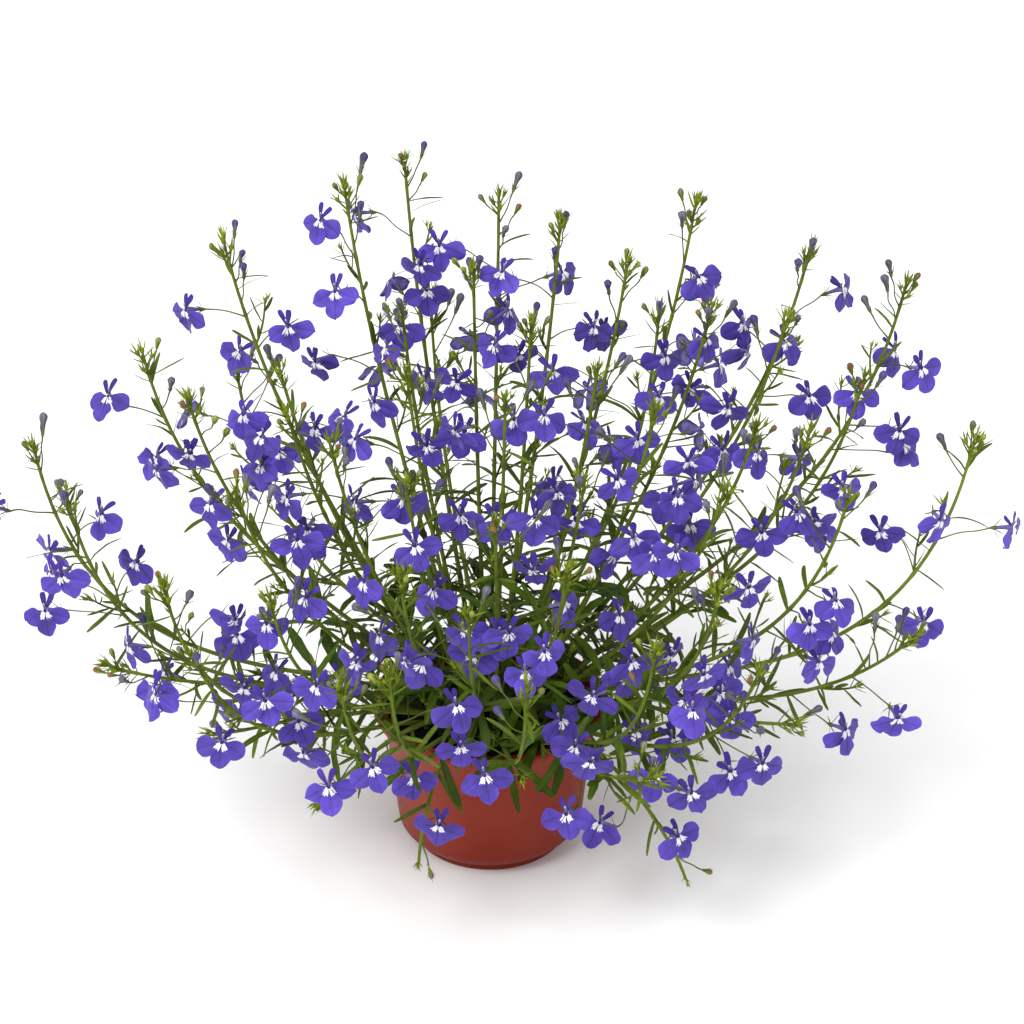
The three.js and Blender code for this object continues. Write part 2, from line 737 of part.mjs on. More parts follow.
// A ring of the stem's own skin, with its first corner at the angle phase.
function stemRing(skin, section, radius, phase) {
  const spokes = [0, 1, 2].map((n) => sideways(section, phase + n * THIRD));
  return skin.add(...onSpokes(section.at, spokes, radius));
}

// The phase that turns a joint's sides to its pieces, within half a side of the last phase.
function jointPhase(section, pieces, last) {
  let [x, y] = [0, 0];
  for (const { leave } of pieces) {
    const angle = Math.atan2(leave.dot(section.over), leave.dot(section.across));
    x += Math.cos(CORNERS * angle);
    y += Math.sin(CORNERS * angle);
  }
  const wanted = Math.atan2(y, x) / CORNERS - THIRD / 2;
  return wanted + THIRD * Math.round((last - wanted) / THIRD);
}

// Opens a socket above a joint's ring for each piece, on the side that looks the piece's way, and
// grows the piece out of it. Gives the sockets' peaks by side.
function growPieces(skin, line, distance, ring, pieces) {
  const { at, ahead } = along(line, distance);
  const peaks = [];
  for (const piece of pieces) {
    let best = null;
    ring.forEach((corner, side) => {
      const next = ring[(side + 1) % CORNERS];
      const middle = between(skin.corners[corner], skin.corners[next], 0.5);
      const looks = course(at, middle).dot(piece.leave);
      if (peaks[side] === undefined && (!best || looks > best.looks)) best = { side, middle, looks };
    });
    const [peak] = skin.add(mix([best.middle, 1], [ahead, STEM.socket]));
    peaks[best.side] = peak;
    GROW[piece.kind](skin, [ring[best.side], ring[(best.side + 1) % CORNERS], peak], piece);
  }
  return peaks;
}

// A flowering stem: a peg in the compost, the leaning stem with its joints, and the top buds.
function stemSkin({ line, joints }) {
  const skin = new Skin();
  const { at: foot, across } = along(line, line.length);
  const pegFoot = vec(foot.x, foot.y, SOIL.top - STEM.pegDepth);
  const pegEnd = { at: pegFoot, across, over: UP.clone().cross(across) };
  let last = stemRing(skin, pegEnd, STEM.footRadius, 0);
  skin.faces.push([...last].reverse());
  let peaks = [];
  let phase = 0;
  const runTo = (distance, radius) => {
    const ring = stemRing(skin, along(line, distance), radius, phase);
    skin.wall(last, ring, peaks);
    last = ring;
    peaks = [];
  };
  runTo(line.length, STEM.footRadius);
  let reached = line.length;
  for (const { distance, pieces } of joints.filter((joint) => joint.pieces.length > 0).reverse()) {
    const halfWay = (reached + distance) / 2;
    if (reached - distance > STEM.longestSpan) runTo(halfWay, stemRadius(line, halfWay));
    phase = jointPhase(along(line, distance), pieces, phase);
    runTo(distance, stemRadius(line, distance));
    peaks = growPieces(skin, line, distance, last, pieces);
    reached = distance;
  }
  runTo(0, STEM.topRadius);
  const { at, ahead } = along(line, 0);
  const [end] = skin.add(mix([at, 1], [ahead, STEM.topLength]));
  skin.fan(last, end);
  return skin.geometry();
}

// ------------------------------------------------------------------ pot and compost
function solidOf(geometry) {
  const bare = geometry.clone();
  bare.deleteAttribute("normal");
  bare.deleteAttribute("uv");
  const merged = mergeVertices(bare, 1e-4);
  return new wasm.Manifold(
    new wasm.Mesh({
      numProp: 3,
      vertProperties: merged.attributes.position.array,
      triVerts: new Uint32Array(merged.index.array),
    }),
  );
}

function geometryOf(solid) {
  const { vertProperties, triVerts } = solid.getMesh();
  const geometry = new THREE.BufferGeometry();
  geometry.setAttribute("position", new THREE.BufferAttribute(vertProperties, 3));
  geometry.setIndex(new THREE.BufferAttribute(triVerts, 1));
  geometry.computeVertexNormals();
  return geometry;
}

// A solid turned about the Z axis from a profile of [radius, height] points.
function turned(profile, sides) {
  const lathe = new THREE.LatheGeometry(profile.map(([r, z]) => new THREE.Vector2(r, z)), sides);
  return solidOf(lathe.rotateX(Math.PI / 2));
}

// The wall's outer radius at a height between the shoulder and the collar.
function wallRadius(z) {
  const share = (z - POT.shoulderHeight) / (POT.collarHeight - POT.shoulderHeight);
  return POT.shoulderRadius + (POT.collarRadius - POT.shoulderRadius) * share;
}

function potGeometry() {
  const { padRadius, recess, footRingInner, footRadius, footHeight, rimRadius, mouthRadius } = POT;
  const body = turned([
    [0, 0], [padRadius, 0], [padRadius + 1.6, recess], [footRingInner - 1.4, recess],
    [footRingInner, 0], [footRadius, 0], [footRadius + 0.4, footHeight],
    [POT.shoulderRadius, POT.shoulderHeight], [POT.collarRadius, POT.collarHeight],
    [rimRadius - 2.4, POT.height - 7], [rimRadius, POT.height - 2.4],
    [rimRadius - 1.2, POT.height - 0.4], [rimRadius - 2.6, POT.height],
    [mouthRadius, POT.height - 0.9], [mouthRadius - POT.wall, POT.height - 4],
    [POT.collarRadius - POT.wall, POT.collarHeight],
    [POT.shoulderRadius - POT.wall, POT.shoulderHeight + 0.6],
    [footRadius - 1, POT.floor], [0, POT.floor],
  ], POT.sides);
  const drains = [];
  for (let n = 0; n < DRAIN.count; n += 1) {
    const angle = (2 * Math.PI * n) / DRAIN.count;
    const drill = new THREE.CylinderGeometry(DRAIN.radius, DRAIN.radius, 4 * POT.floor, DRAIN.sides);
    drill.rotateX(Math.PI / 2);
    drill.translate(DRAIN.circle * Math.cos(angle), DRAIN.circle * Math.sin(angle), 0);
    drains.push(solidOf(drill));
  }
  return geometryOf(body.subtract(wasm.Manifold.union(drains)));
}

// A plain three-cornered hole round a stem's foot.
function footHole({ line }) {
  const radius = STEM.footRadius + 2 * SOIL.gap;
  const depth = STEM.pegDepth + 0.5;
  const hole = new THREE.CylinderGeometry(radius, radius, 2 * depth, CORNERS);
  hole.rotateX(Math.PI / 2);
  hole.rotateZ(line.bearing + Math.PI);
  hole.translate(line.points[0].x, line.points[0].y, SOIL.top);
  return solidOf(hole);
}

function soilGeometry(stems) {
  const inset = POT.wall + SOIL.gap;
  const polygon = Math.cos(Math.PI / POT.sides); // the pot's flats lie inside its corners
  const body = turned([
    [0, SOIL.bottom], [POT.footRadius - 2, SOIL.bottom],
    [wallRadius(POT.shoulderHeight + 2) * polygon - inset - 0.6, POT.shoulderHeight + 2],
    [wallRadius(POT.collarHeight) * polygon - inset, SOIL.top], [0, SOIL.top],
  ], SOIL.sides);
  return geometryOf(body.subtract(wasm.Manifold.union(stems.map(footHole))));
}

// ------------------------------------------------------------------ the group
const MATERIALS = {
  pot: new THREE.MeshStandardMaterial({ color: 0xa5483a, roughness: 0.5, metalness: 0 }),
  soil: new THREE.MeshStandardMaterial({ color: 0x1d1611, roughness: 0.95, metalness: 0 }),
  stem: new THREE.MeshStandardMaterial({ color: 0x5a42b8, roughness: 0.65, metalness: 0 }),
};

const plant = new THREE.Group();

function addNode(name, geometry, material) {
  const mesh = new THREE.Mesh(geometry, material);
  mesh.name = name;
  plant.add(mesh);
}

const stems = growPlant();
addNode("pot", potGeometry(), MATERIALS.pot);
addNode("soil", soilGeometry(stems), MATERIALS.soil);
for (const stem of stems) {
  const number = String(stem.order + 1).padStart(2, "0");
  addNode(`stem_${number}`, stemSkin(stem), MATERIALS.stem);
}

export default plant;
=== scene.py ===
"""Dresses a trailing lobelia in its round plastic grower's pot.

The frame holds the pot, the compost and one solid for each flowering stem. This script grows the
plant again by the same rule, so that every stem, leaf, stalk, bloom and bud stands where its solid
stands, and gives it its fine form: rounded petals with a white eye, ribbed stems, folded and
toothed leaves, calyxes with their five sepals, and spiky green tips. Small leaves and side shoots
fill the plant up. Lengths are in millimetres until a mesh is made, which is in metres.
"""

import logging
import math
from collections.abc import Callable, Iterable, Iterator, Sequence
from dataclasses import dataclass, field
from enum import Enum, IntEnum

import bpy
import numpy as np
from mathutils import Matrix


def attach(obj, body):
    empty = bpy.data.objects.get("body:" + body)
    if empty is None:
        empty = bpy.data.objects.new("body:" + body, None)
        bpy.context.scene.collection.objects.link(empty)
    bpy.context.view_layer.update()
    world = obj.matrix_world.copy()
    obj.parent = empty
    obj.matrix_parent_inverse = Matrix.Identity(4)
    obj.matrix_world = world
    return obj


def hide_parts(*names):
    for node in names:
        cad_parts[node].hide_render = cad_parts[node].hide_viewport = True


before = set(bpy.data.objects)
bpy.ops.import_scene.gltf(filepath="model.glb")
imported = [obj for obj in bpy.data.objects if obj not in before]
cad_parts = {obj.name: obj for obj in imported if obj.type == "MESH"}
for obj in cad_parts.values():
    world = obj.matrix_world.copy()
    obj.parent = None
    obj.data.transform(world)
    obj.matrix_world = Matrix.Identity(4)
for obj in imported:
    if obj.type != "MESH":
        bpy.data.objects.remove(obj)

LOG = logging.getLogger("lobelia")
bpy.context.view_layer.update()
MM = 0.001

Vec = tuple[float, float, float]
Array = np.ndarray
Material = bpy.types.Material
Node = bpy.types.Node
Object = bpy.types.Object
Socket = bpy.types.NodeSocket
Rgba = tuple[float, float, float, float]


# ---- points and directions
UP: Vec = (0.0, 0.0, 1.0)


def mix(*terms: tuple[Vec, float]) -> Vec:
    """Sums vectors times factors: mix((a, 2), (b, -1)) is 2a - b.

    Args:
        terms: pairs of a vector and its factor.

    Returns:
        The sum.
    """
    x = y = z = 0.0
    for (vx, vy, vz), factor in terms:
        x += vx * factor
        y += vy * factor
        z += vz * factor
    return (x, y, z)


def dot(a: Vec, b: Vec) -> float:
    """Returns the dot product of two vectors."""
    return a[0] * b[0] + a[1] * b[1] + a[2] * b[2]


def cross(a: Vec, b: Vec) -> Vec:
    """Returns the cross product of two vectors."""
    return (a[1] * b[2] - a[2] * b[1], a[2] * b[0] - a[0] * b[2], a[0] * b[1] - a[1] * b[0])


def unit(v: Vec) -> Vec:
    """Returns the vector at length one."""
    scale = 1.0 / (math.sqrt(dot(v, v)) or 1.0)
    return (v[0] * scale, v[1] * scale, v[2] * scale)


def between(a: Vec, b: Vec, share: float) -> Vec:
    """Returns the point that lies this share of the way from a to b."""
    return mix((a, 1 - share), (b, share))


def course(start: Vec, end: Vec) -> Vec:
    """Returns the direction from start to end."""
    return unit(mix((end, 1), (start, -1)))


def gap(a: Vec, b: Vec) -> float:
    """Returns the distance between two points."""
    d = mix((a, 1), (b, -1))
    return math.sqrt(dot(d, d))


class Draws:
    """A repeatable series of numbers."""

    def __init__(self, seed: int) -> None:
        """Starts the series that belongs to a seed."""
        self.state = seed * 7919 + 17
        self._next()
        self._next()

    def _next(self) -> float:
        """Returns the next number between 0 and 1."""
        self.state = (self.state * 1664525 + 1013904223) % 4294967296
        return self.state / 4294967296

    def __call__(self, low: float, high: float) -> float:
        """Returns the next number between low and high."""
        return low + (high - low) * self._next()

    def chance(self, share: float) -> bool:
        """Returns True in this share of the calls."""
        return self._next() < share


class Series(IntEnum):
    """The first seed of the draws for each kind of piece."""

    STEM = 1
    STEM_TINT = 400
    TIP = 600
    JOINTS = 700
    BLOOM = 1000
    BUD = 3000
    LEAF = 5000
    SMALL_BUDS = 8000
    SMALL_BUD = 8100
    SHOOTS = 9000
    SHOOT = 9100
    FLOWER_BASE = 11000
    FACE = 15000
    SMALL_LEAVES = 20000
    MORE_LEAVES = 30000


# ---- sizes shared with the solids
@dataclass(frozen=True)
class PotSize:
    """Sizes of the pot, in millimetres."""

    height: float = 70.0
    rim_radius: float = 52.5
    mouth_radius: float = 46.6
    collar_height: float = 53.0
    collar_radius: float = 46.0
    shoulder_height: float = 9.0
    shoulder_radius: float = 41.0
    foot_height: float = 2.5
    foot_radius: float = 33.5
    foot_ring_inner: float = 27.0
    pad_radius: float = 9.0
    recess: float = 1.4
    wall: float = 1.2
    floor: float = 3.4


@dataclass(frozen=True)
class StemSize:
    """Sizes of a stem's solid, in millimetres."""

    foot_radius: float = 1.3
    end_radius: float = 0.8
    rise: float = 2.5
    samples: int = 40


@dataclass(frozen=True)
class BloomSize:
    """Sizes of an open bloom, in millimetres and degrees."""

    lobe: float = 12.2
    shoulder: float = 8.9
    side_turn: float = 68.0
    upper: float = 8.8
    upper_turn: float = 19.0
    tube: float = 8.5


POT = PotSize()
STEM = StemSize()
BLOOM = BloomSize()
SOIL_TOP = 58.0
BUD_LENGTH = 6.0
CLEARANCE = 0.8
TURN = 137.5
LOW_TIP = 60.0
PLACES = 14

# Each row is a stem's tip (x, y, z) and the number of its open blooms.
STEM_TIPS: tuple[tuple[float, float, float, int], ...] = (
    # left side, from the outermost in
    (-195, 0, 196, 4), (-178, -30, 188, 3), (-164, -36, 108, 3), (-136, -60, 162, 3),
    (-123, -84, 142, 3), (-118, -66, 92, 3), (-127, -10, 224, 3), (-150, 36, 222, 3),
    (-115, 62, 262, 4), (-90, 22, 222, 3), (-105, -45, 198, 3), (-90, -82, 168, 2),
    # right side, from the outermost in
    (206, -10, 204, 4), (180, 45, 252, 4), (180, -58, 136, 3), (140, 72, 255, 4),
    (128, 30, 242, 3), (136, -12, 210, 4), (150, -48, 198, 4), (130, -70, 100, 4),
    (98, -50, 202, 4), (95, -88, 176, 4),
    # top and middle
    (-64, 95, 275, 4), (-38, 116, 278, 4), (4, 108, 265, 3), (31, 84, 263, 3),
    (60, 62, 253, 3), (91, 102, 263, 4), (-38, 46, 239, 3), (-7, 66, 249, 3),
    (96, 40, 242, 3), (18, 26, 242, 3), (-35, 2, 230, 3), (46, -6, 236, 3),
    (7, -26, 232, 3), (70, -24, 226, 3), (-85, -12, 218, 2), (-66, -36, 216, 3),
    (-34, -52, 206, 3), (40, -52, 208, 3),
    # front, lower
    (3, -72, 198, 3), (-36, -92, 186, 4), (-60, -112, 146, 2), (-8, -104, 174, 4),
    (32, -88, 184, 3), (68, -112, 162, 3), (68, -126, 110, 3), (-40, -122, 156, 2),
    (-30, -92, 44, 1), (84, -96, 38, 3), (-72, -84, 70, 2),
    # back, lower
    (-28, 148, 196, 4), (78, 144, 190, 4), (-116, 108, 180, 3),
    # between the others
    (160, 12, 222, 3), (112, -32, 222, 4), (16, -116, 146, 4), (112, -98, 144, 4),
)


@dataclass(frozen=True)
class Habit:
    """How a stem starts and ends: slopes in degrees, kept for shares of its straight length."""

    slope: float
    start: float
    end: float
    start_pull: float
    end_pull: float


HABITS = (
    Habit(-10, 62, -60, 0.36, 0.34),
    Habit(12, 60, -8, 0.36, 0.34),
    Habit(26, 60, 54, 0.24, 0.5),
    Habit(38, 60, 82, 0.21, 0.68),
    Habit(60, 48, 76, 0.34, 0.36),
    Habit(85, 82, 86, 0.34, 0.36),
)


def habit_at(slope: float) -> Habit:
    """Returns the habit for a slope in degrees, worked out between its neighbours in HABITS."""
    held = min(max(slope, HABITS[0].slope), HABITS[-1].slope)
    upper = 1
    while upper < len(HABITS) - 1 and HABITS[upper].slope < held:
        upper += 1
    a = HABITS[upper - 1]
    b = HABITS[upper]
    share = (held - a.slope) / (b.slope - a.slope)
    values = [getattr(a, key) + (getattr(b, key) - getattr(a, key)) * share
              for key in ("start", "end", "start_pull", "end_pull")]
    return Habit(held, *values)


# ---- the space that is taken
@dataclass(frozen=True)
class Ball:
    """A ball that stands for a short stretch of a piece."""

    at: Vec
    radius: float


def clear_of_pot(ball: Ball) -> bool:
    """Returns whether a ball is clear of the pot, the compost and the ground."""
    x, y, z = ball.at
    out = math.sqrt(x * x + y * y)
    low = z - ball.radius
    if low < 2:
        return False
    if low > POT.height + 0.8:
        return True
    inside = out + ball.radius < POT.mouth_radius - POT.wall - 2 and low > SOIL_TOP + 0.5
    return inside or out - ball.radius > POT.rim_radius + 0.8


def before_bare_rim(ball: Ball) -> bool:
    """Returns whether a ball hangs before the bare stretch of the rim, left of the front."""
    x, y, z = ball.at
    level = y + (z - POT.height) * 1.8
    return -53 < x < -18 and -125 < level < -14 and z < 110


class Space:
    """The balls of all pieces placed so far, kept in the cells of a grid."""

    CELL = 8.0

    def __init__(self) -> None:
        """Starts with nothing taken."""
        self.taken: dict[tuple[int, int, int], list[Ball]] = {}

    def _cell(self, at: Vec) -> tuple[int, int, int]:
        """Returns the cell that holds a point."""
        return tuple(math.floor(value / self.CELL) for value in at)

    def keep(self, balls: Iterable[Ball]) -> None:
        """Takes the space of these balls."""
        for ball in balls:
            self.taken.setdefault(self._cell(ball.at), []).append(ball)

    def _near(self, at: Vec) -> Iterator[Ball]:
        """Yields the balls kept in the cells round a point."""
        i, j, k = self._cell(at)
        for x in (i - 1, i, i + 1):
            for y in (j - 1, j, j + 1):
                for z in (k - 1, k, k + 1):
                    yield from self.taken.get((x, y, z), ())

    def is_clear(self, balls: Iterable[Ball], clearance: float = CLEARANCE) -> bool:
        """Tells whether balls are clear of the pot and of all that is kept.

        Args:
            balls: the balls of a new piece.
            clearance: the least gap to what is kept.

        Returns:
            True if nothing is touched.
        """
        for ball in balls:
            if not clear_of_pot(ball):
                return False
            bx, by, bz = ball.at
            for other in self._near(ball.at):
                reach = ball.radius + other.radius + clearance
                ox, oy, oz = other.at
                dx = bx - ox
                dy = by - oy
                dz = bz - oz
                if dx * dx + dy * dy + dz * dz < reach * reach:
                    return False
        return True


# ---- centrelines
@dataclass(frozen=True)
class Section:
    """A place on a stem: ahead runs along it, across is level, and over completes them."""

    at: Vec
    ahead: Vec
    across: Vec
    over: Vec

    def sideways(self, angle: float) -> Vec:
        """Returns the direction square to the stem at an angle round it, in radians."""
        return mix((self.across, math.cos(angle)), (self.over, math.sin(angle)))


@dataclass(frozen=True)
class Line:
    """A stem's centreline with the distance of each of its points from the tip."""

    bearing: float
    points: tuple[Vec, ...]
    from_tip: tuple[float, ...]

    @property
    def length(self) -> float:
        """Returns the length from foot to tip."""
        return self.from_tip[0]

    def along(self, distance: float) -> Section:
        """Returns the section at a distance from the tip."""
        n = 1
        while n < len(self.points) - 1 and self.from_tip[n] > distance:
            n += 1
        span = self.from_tip[n - 1] - self.from_tip[n]
        start = self.points[n - 1]
        end = self.points[n]
        ahead = course(start, end)
        level = (-math.sin(self.bearing), math.cos(self.bearing), 0.0)
        across = unit(mix((level, 1), (ahead, -dot(level, ahead))))
        at = between(start, end, (self.from_tip[n - 1] - distance) / span)
        return Section(at, ahead, across, cross(ahead, across))

    def solid_radius(self, distance: float) -> float:
        """Returns the radius of the stem's solid at a distance from the tip."""
        share = min(distance / self.length, 1)
        return STEM.end_radius + (STEM.foot_radius - STEM.end_radius) * share

    def balls(self) -> list[Ball]:
        """Returns the balls along the stem, three millimetres apart."""
        count = math.ceil(self.length / 3)
        steps = [3.0 * n for n in range(count)]
        return [Ball(self.along(step).at, self.solid_radius(step)) for step in steps]


def heading(bearing: float, slope: float) -> Vec:
    """Returns the direction with a bearing round +Z and a slope above level, in radians."""
    level = math.cos(slope)
    return (math.cos(bearing) * level, math.sin(bearing) * level, math.sin(slope))


def bezier(points: Sequence[Vec], t: float) -> Vec:
    """Returns a point of the cubic curve through four control points."""
    s = 1 - t
    weights = (s * s * s, 3 * s * s * t, 3 * s * t * t, t * t * t)
    return mix(*zip(points, weights))


def centreline(foot: Vec, tip: Vec, swirl: float) -> Line:
    """Draws the centreline of a stem.

    Args:
        foot: where the stem leaves the crown.
        tip: where it ends.
        swirl: how far its start turns aside, in radians.

    Returns:
        The line.
    """
    dx = tip[0] - foot[0]
    dy = tip[1] - foot[1]
    bearing = math.atan2(dy, dx)
    straight = gap(tip, foot)
    slope = math.atan2(tip[2] - foot[2], math.sqrt(dx * dx + dy * dy))
    habit = habit_at(math.degrees(slope))
    start = heading(bearing + swirl, math.radians(habit.start))
    end = heading(bearing - 0.5 * swirl, math.radians(habit.end))
    controls = (
        foot,
        mix((foot, 1), (start, straight * habit.start_pull)),
        mix((tip, 1), (end, -straight * habit.end_pull)),
        tip,
    )
    points = [bezier(controls, n / STEM.samples) for n in range(STEM.samples + 1)]
    from_tip = [0.0]
    for n in reversed(range(STEM.samples)):
        from_tip.insert(0, from_tip[0] + gap(points[n], points[n + 1]))
    return Line(bearing, tuple(points), tuple(from_tip))


# ---- pieces that grow on a stem
@dataclass(frozen=True)
class Stalked:
    """What grows from a joint on a curve with a bend."""

    joint: Vec
    bend: Vec
    end: Vec
    leave: Vec

    looks_back = False

    def on(self, t: float) -> Vec:
        """Returns a point of the curve."""
        s = 1 - t
        return mix((self.joint, s * s), (self.bend, 2 * s * t), (self.end, t * t))

    def path(self, count: int) -> Array:
        """Returns evenly spaced points of the curve."""
        return row(self.on(float(t)) for t in np.linspace(0, 1, count))


@dataclass(frozen=True)
class BloomPose(Stalked):
    """A bloom: its stalk, its tube and the axes of its face."""

    tube: Vec
    throat: Vec
    normal: Vec
    right: Vec
    up: Vec

    @property
    def looks_back(self) -> bool:
        """Returns whether the face looks back along its stalk."""
        return dot(self.normal, course(self.joint, self.end)) < -0.25

    def on_face(self, distance: float, degrees: float, depth: float) -> Vec:
        """Returns a point of the face at a distance and a turn from the throat."""
        angle = math.radians(degrees)
        return mix(
            (self.throat, 1),
            (self.right, distance * math.cos(angle)),
            (self.up, distance * math.sin(angle)),
            (self.normal, depth),
        )

    def balls(self) -> list[Ball]:
        """Returns the balls of the stalk, the tube and the petals."""
        made = [Ball(self.on(t), 0.7) for t in (0.25, 0.4, 0.55, 0.7, 0.85, 1)]
        made += [Ball(mix((self.end, 1), (self.tube, BLOOM.tube * share)), 1.5)
                 for share in (0.3, 0.65)]
        made.append(Ball(self.throat, 2))
        for turn in (-90 - BLOOM.side_turn, -90, -90 + BLOOM.side_turn):
            for share, depth, radius in ((0.34, -0.4, 1.9), (0.6, -0.6, 2.2), (0.86, -0.9, 1.8)):
                made.append(Ball(self.on_face(BLOOM.lobe * share, turn, depth), radius))
            for aside in (-24, 24):
                made.append(Ball(self.on_face(BLOOM.shoulder * 0.9, turn + aside, -0.6), 1.8))
        for turn in (90 - BLOOM.upper_turn, 90 + BLOOM.upper_turn):
            for share, radius in ((0.43, 1.2), (0.83, 1.3)):
                made.append(Ball(self.on_face(BLOOM.upper * share, turn, 0), radius))
        return made


@dataclass(frozen=True)
class LeafPose(Stalked):
    """A leaf: its midrib, and the direction of its width."""

    across: Vec
    length: float
    width: float
    seed: int

    def balls(self) -> list[Ball]:
        """Returns the balls along the blade."""
        return [Ball(self.on(t), 0.6 + 0.5 * (self.width - 1) * math.sin(math.pi * t * 0.85))
                for t in (0.2, 0.36, 0.52, 0.68, 0.84, 1)]


@dataclass(frozen=True)
class BudPose(Stalked):
    """A stalked bud: its stalk, and the direction that the bud stands in."""

    upward: Vec
    seed: int

    def balls(self) -> list[Ball]:
        """Returns the balls of the stalk and the bud."""
        made = [Ball(self.on(t), 0.6) for t in (0.3, 0.6, 1)]
        made += [Ball(mix((self.end, 1), (self.upward, BUD_LENGTH * share)), 1.4)
                 for share in (0.4, 0.8)]
        return made


@dataclass(frozen=True)
class ShootPose(Stalked):
    """A short side shoot: its own small stem on the curve."""

    across: Vec
    seed: int

    def balls(self) -> list[Ball]:
        """Returns the balls along the shoot and round its leafy end."""
        made = [Ball(self.on(t), 0.9) for t in (0.2, 0.4, 0.6, 0.8)]
        made.append(Ball(self.end, 2.2))
        return made


Pose = BloomPose | LeafPose | BudPose | ShootPose


@dataclass(frozen=True)
class Piece:
    """A pose that has found its place, and its angle round the stem."""

    angle: float
    pose: Pose


class JointKind(Enum):
    """What a joint of a stem carries."""

    BUD = "bud"
    BLOOM = "bloom"
    LEAF = "leaf"


@dataclass
class Joint:
    """A place on a stem that pieces grow from."""

    distance: float
    kind: JointKind
    turn: float
    pieces: list[Piece] = field(default_factory=list)


@dataclass
class Stem:
    """A flowering stem with its joints, and the small pieces between them."""

    order: int
    line: Line
    blooms: int
    turn: float
    joints: list[Joint] = field(default_factory=list)
    extras: list[Pose] = field(default_factory=list)

    @property
    def hangs(self) -> bool:
        """Returns whether the stem hangs over the pot's rim."""
        return self.line.points[-1][2] < LOW_TIP

    def poses(self, kind: type) -> list[Pose]:
        """Returns the poses of one kind, those of the joints first."""
        grown = [piece.pose for joint in self.joints for piece in joint.pieces]
        return [pose for pose in grown + self.extras if isinstance(pose, kind)]


def turn_face(at: Vec, side: Vec, draw: Draws) -> tuple[Vec, Vec, Vec]:
    """Turns a bloom's face towards the show side, or outwards at the back.

    Args:
        at: the calyx.
        side: the side of the stem that the bloom grows on.
        draw: the bloom's series.

    Returns:
        The face's normal, right and up.
    """
    behind = at[1] - 0.45 * (at[2] - 146)
    front = min(max((125 - behind) / (125 - 65), 0), 1)
    out = math.sqrt(at[0] * at[0] + at[1] * at[1]) + 1
    facing = unit((
        (at[0] / out) * (1 - 0.3 * front) + 0.45 * side[0] + draw(-0.8, 0.8),
        (at[1] / out) * (1 - 0.75 * front) - 1.15 * front + 0.3 * side[1] + draw(-0.3, 0.3),
        0.0,
    ))
    tilt = math.radians(draw(-14, 48))
    roll = math.radians(draw(-22, 22))
    normal = mix((facing, math.cos(tilt)), (UP, math.sin(tilt)))
    plain_right = cross(UP, facing)
    plain_up = cross(normal, plain_right)
    right = mix((plain_right, math.cos(roll)), (plain_up, math.sin(roll)))
    up = mix((plain_up, math.cos(roll)), (plain_right, -math.sin(roll)))
    return normal, right, up


def pose_bloom(line: Line, distance: float, angle: float, length: float, draw: Draws) -> BloomPose:
    """Poses a bloom on its stalk.

    Args:
        line: the stem.
        distance: how far the joint is from the tip.
        angle: the stalk's angle round the stem, in radians.
        length: the length of the stalk.
        draw: the bloom's series.

    Returns:
        The pose.
    """
    section = line.along(distance)
    side = section.sideways(angle)
    leave = unit(mix((section.ahead, 0.62), (side, 0.78)))
    level = unit((side[0], side[1], 0.12 * side[2]))
    bend = mix((section.at, 1), (leave, length * 0.58))
    end = mix((section.at, 1), (leave, length * 0.68), (level, length * 0.3))
    normal, right, up = turn_face(end, level, draw)
    tube = unit(mix((normal, 0.75), (level, 0.42), (up, 0.12)))
    throat = mix((end, 1), (tube, BLOOM.tube))
    return BloomPose(section.at, bend, end, leave, tube, throat, normal, right, up)


def pose_leaf(
    line: Line, distance: float, angle: float, length: float, width: float, lift: float, seed: int
) -> LeafPose:
    """Poses a leaf that first leaves its stem and then droops.

    Args:
        line, distance, angle: the place on the stem, as for a bloom.
        length: the leaf's length.
        width: its greatest width.
        lift: its angle to the stem, in radians.
        seed: the seed of its looks.

    Returns:
        The pose.
    """
    section = line.along(distance)
    side = section.sideways(angle)
    leave = mix((section.ahead, math.cos(lift)), (side, math.sin(lift)))
    bend = mix((section.at, 1), (leave, length * 0.5))
    droop = 0.1 + 0.012 * width * width
    onward = unit(mix((leave, 0.55), (side, 0.35), (UP, -droop)))
    end = mix((bend, 1), (onward, length * 0.52))
    across = unit(cross(course(section.at, end), mix((section.ahead, 0.7), (UP, 0.7))))
    return LeafPose(section.at, bend, end, leave, across, length, width, seed)


def pose_bud(
    line: Line, distance: float, angle: float, length: float, spread: float, seed: int
) -> BudPose:
    """Poses a stalked bud that stands nearly along its stem.

    Args:
        line, distance, angle: the place on the stem, as for a bloom.
        length: the length of the stalk.
        spread: its angle to the stem, in radians.
        seed: the seed of its looks.

    Returns:
        The pose.
    """
    section = line.along(distance)
    side = section.sideways(angle)
    leave = mix((section.ahead, math.cos(spread)), (side, math.sin(spread)))
    upward = unit(mix((leave, 0.8), (UP, 0.45)))
    bend = mix((section.at, 1), (leave, length * 0.55))
    end = mix((section.at, 1), (leave, length * 0.6), (upward, length * 0.4))
    return BudPose(section.at, bend, end, leave, upward, seed)


def pose_shoot(line: Line, distance: float, angle: float, length: float, seed: int) -> ShootPose:
    """Poses a side shoot that leaves at 40 degrees and turns up along its stem.

    Args:
        line, distance, angle: the place on the stem, as for a bloom.
        length: the shoot's length.
        seed: the seed of its looks.

    Returns:
        The pose.
    """
    section = line.along(distance)
    side = section.sideways(angle)
    leave = unit(mix((section.ahead, 0.74), (side, 0.67)))
    bend = mix((section.at, 1), (leave, length * 0.5))
    onward = unit(mix((section.ahead, 0.85), (side, 0.3), (UP, 0.25)))
    end = mix((bend, 1), (onward, length * 0.5))
    return ShootPose(section.at, bend, end, leave, section.sideways(angle + math.pi / 2), seed)


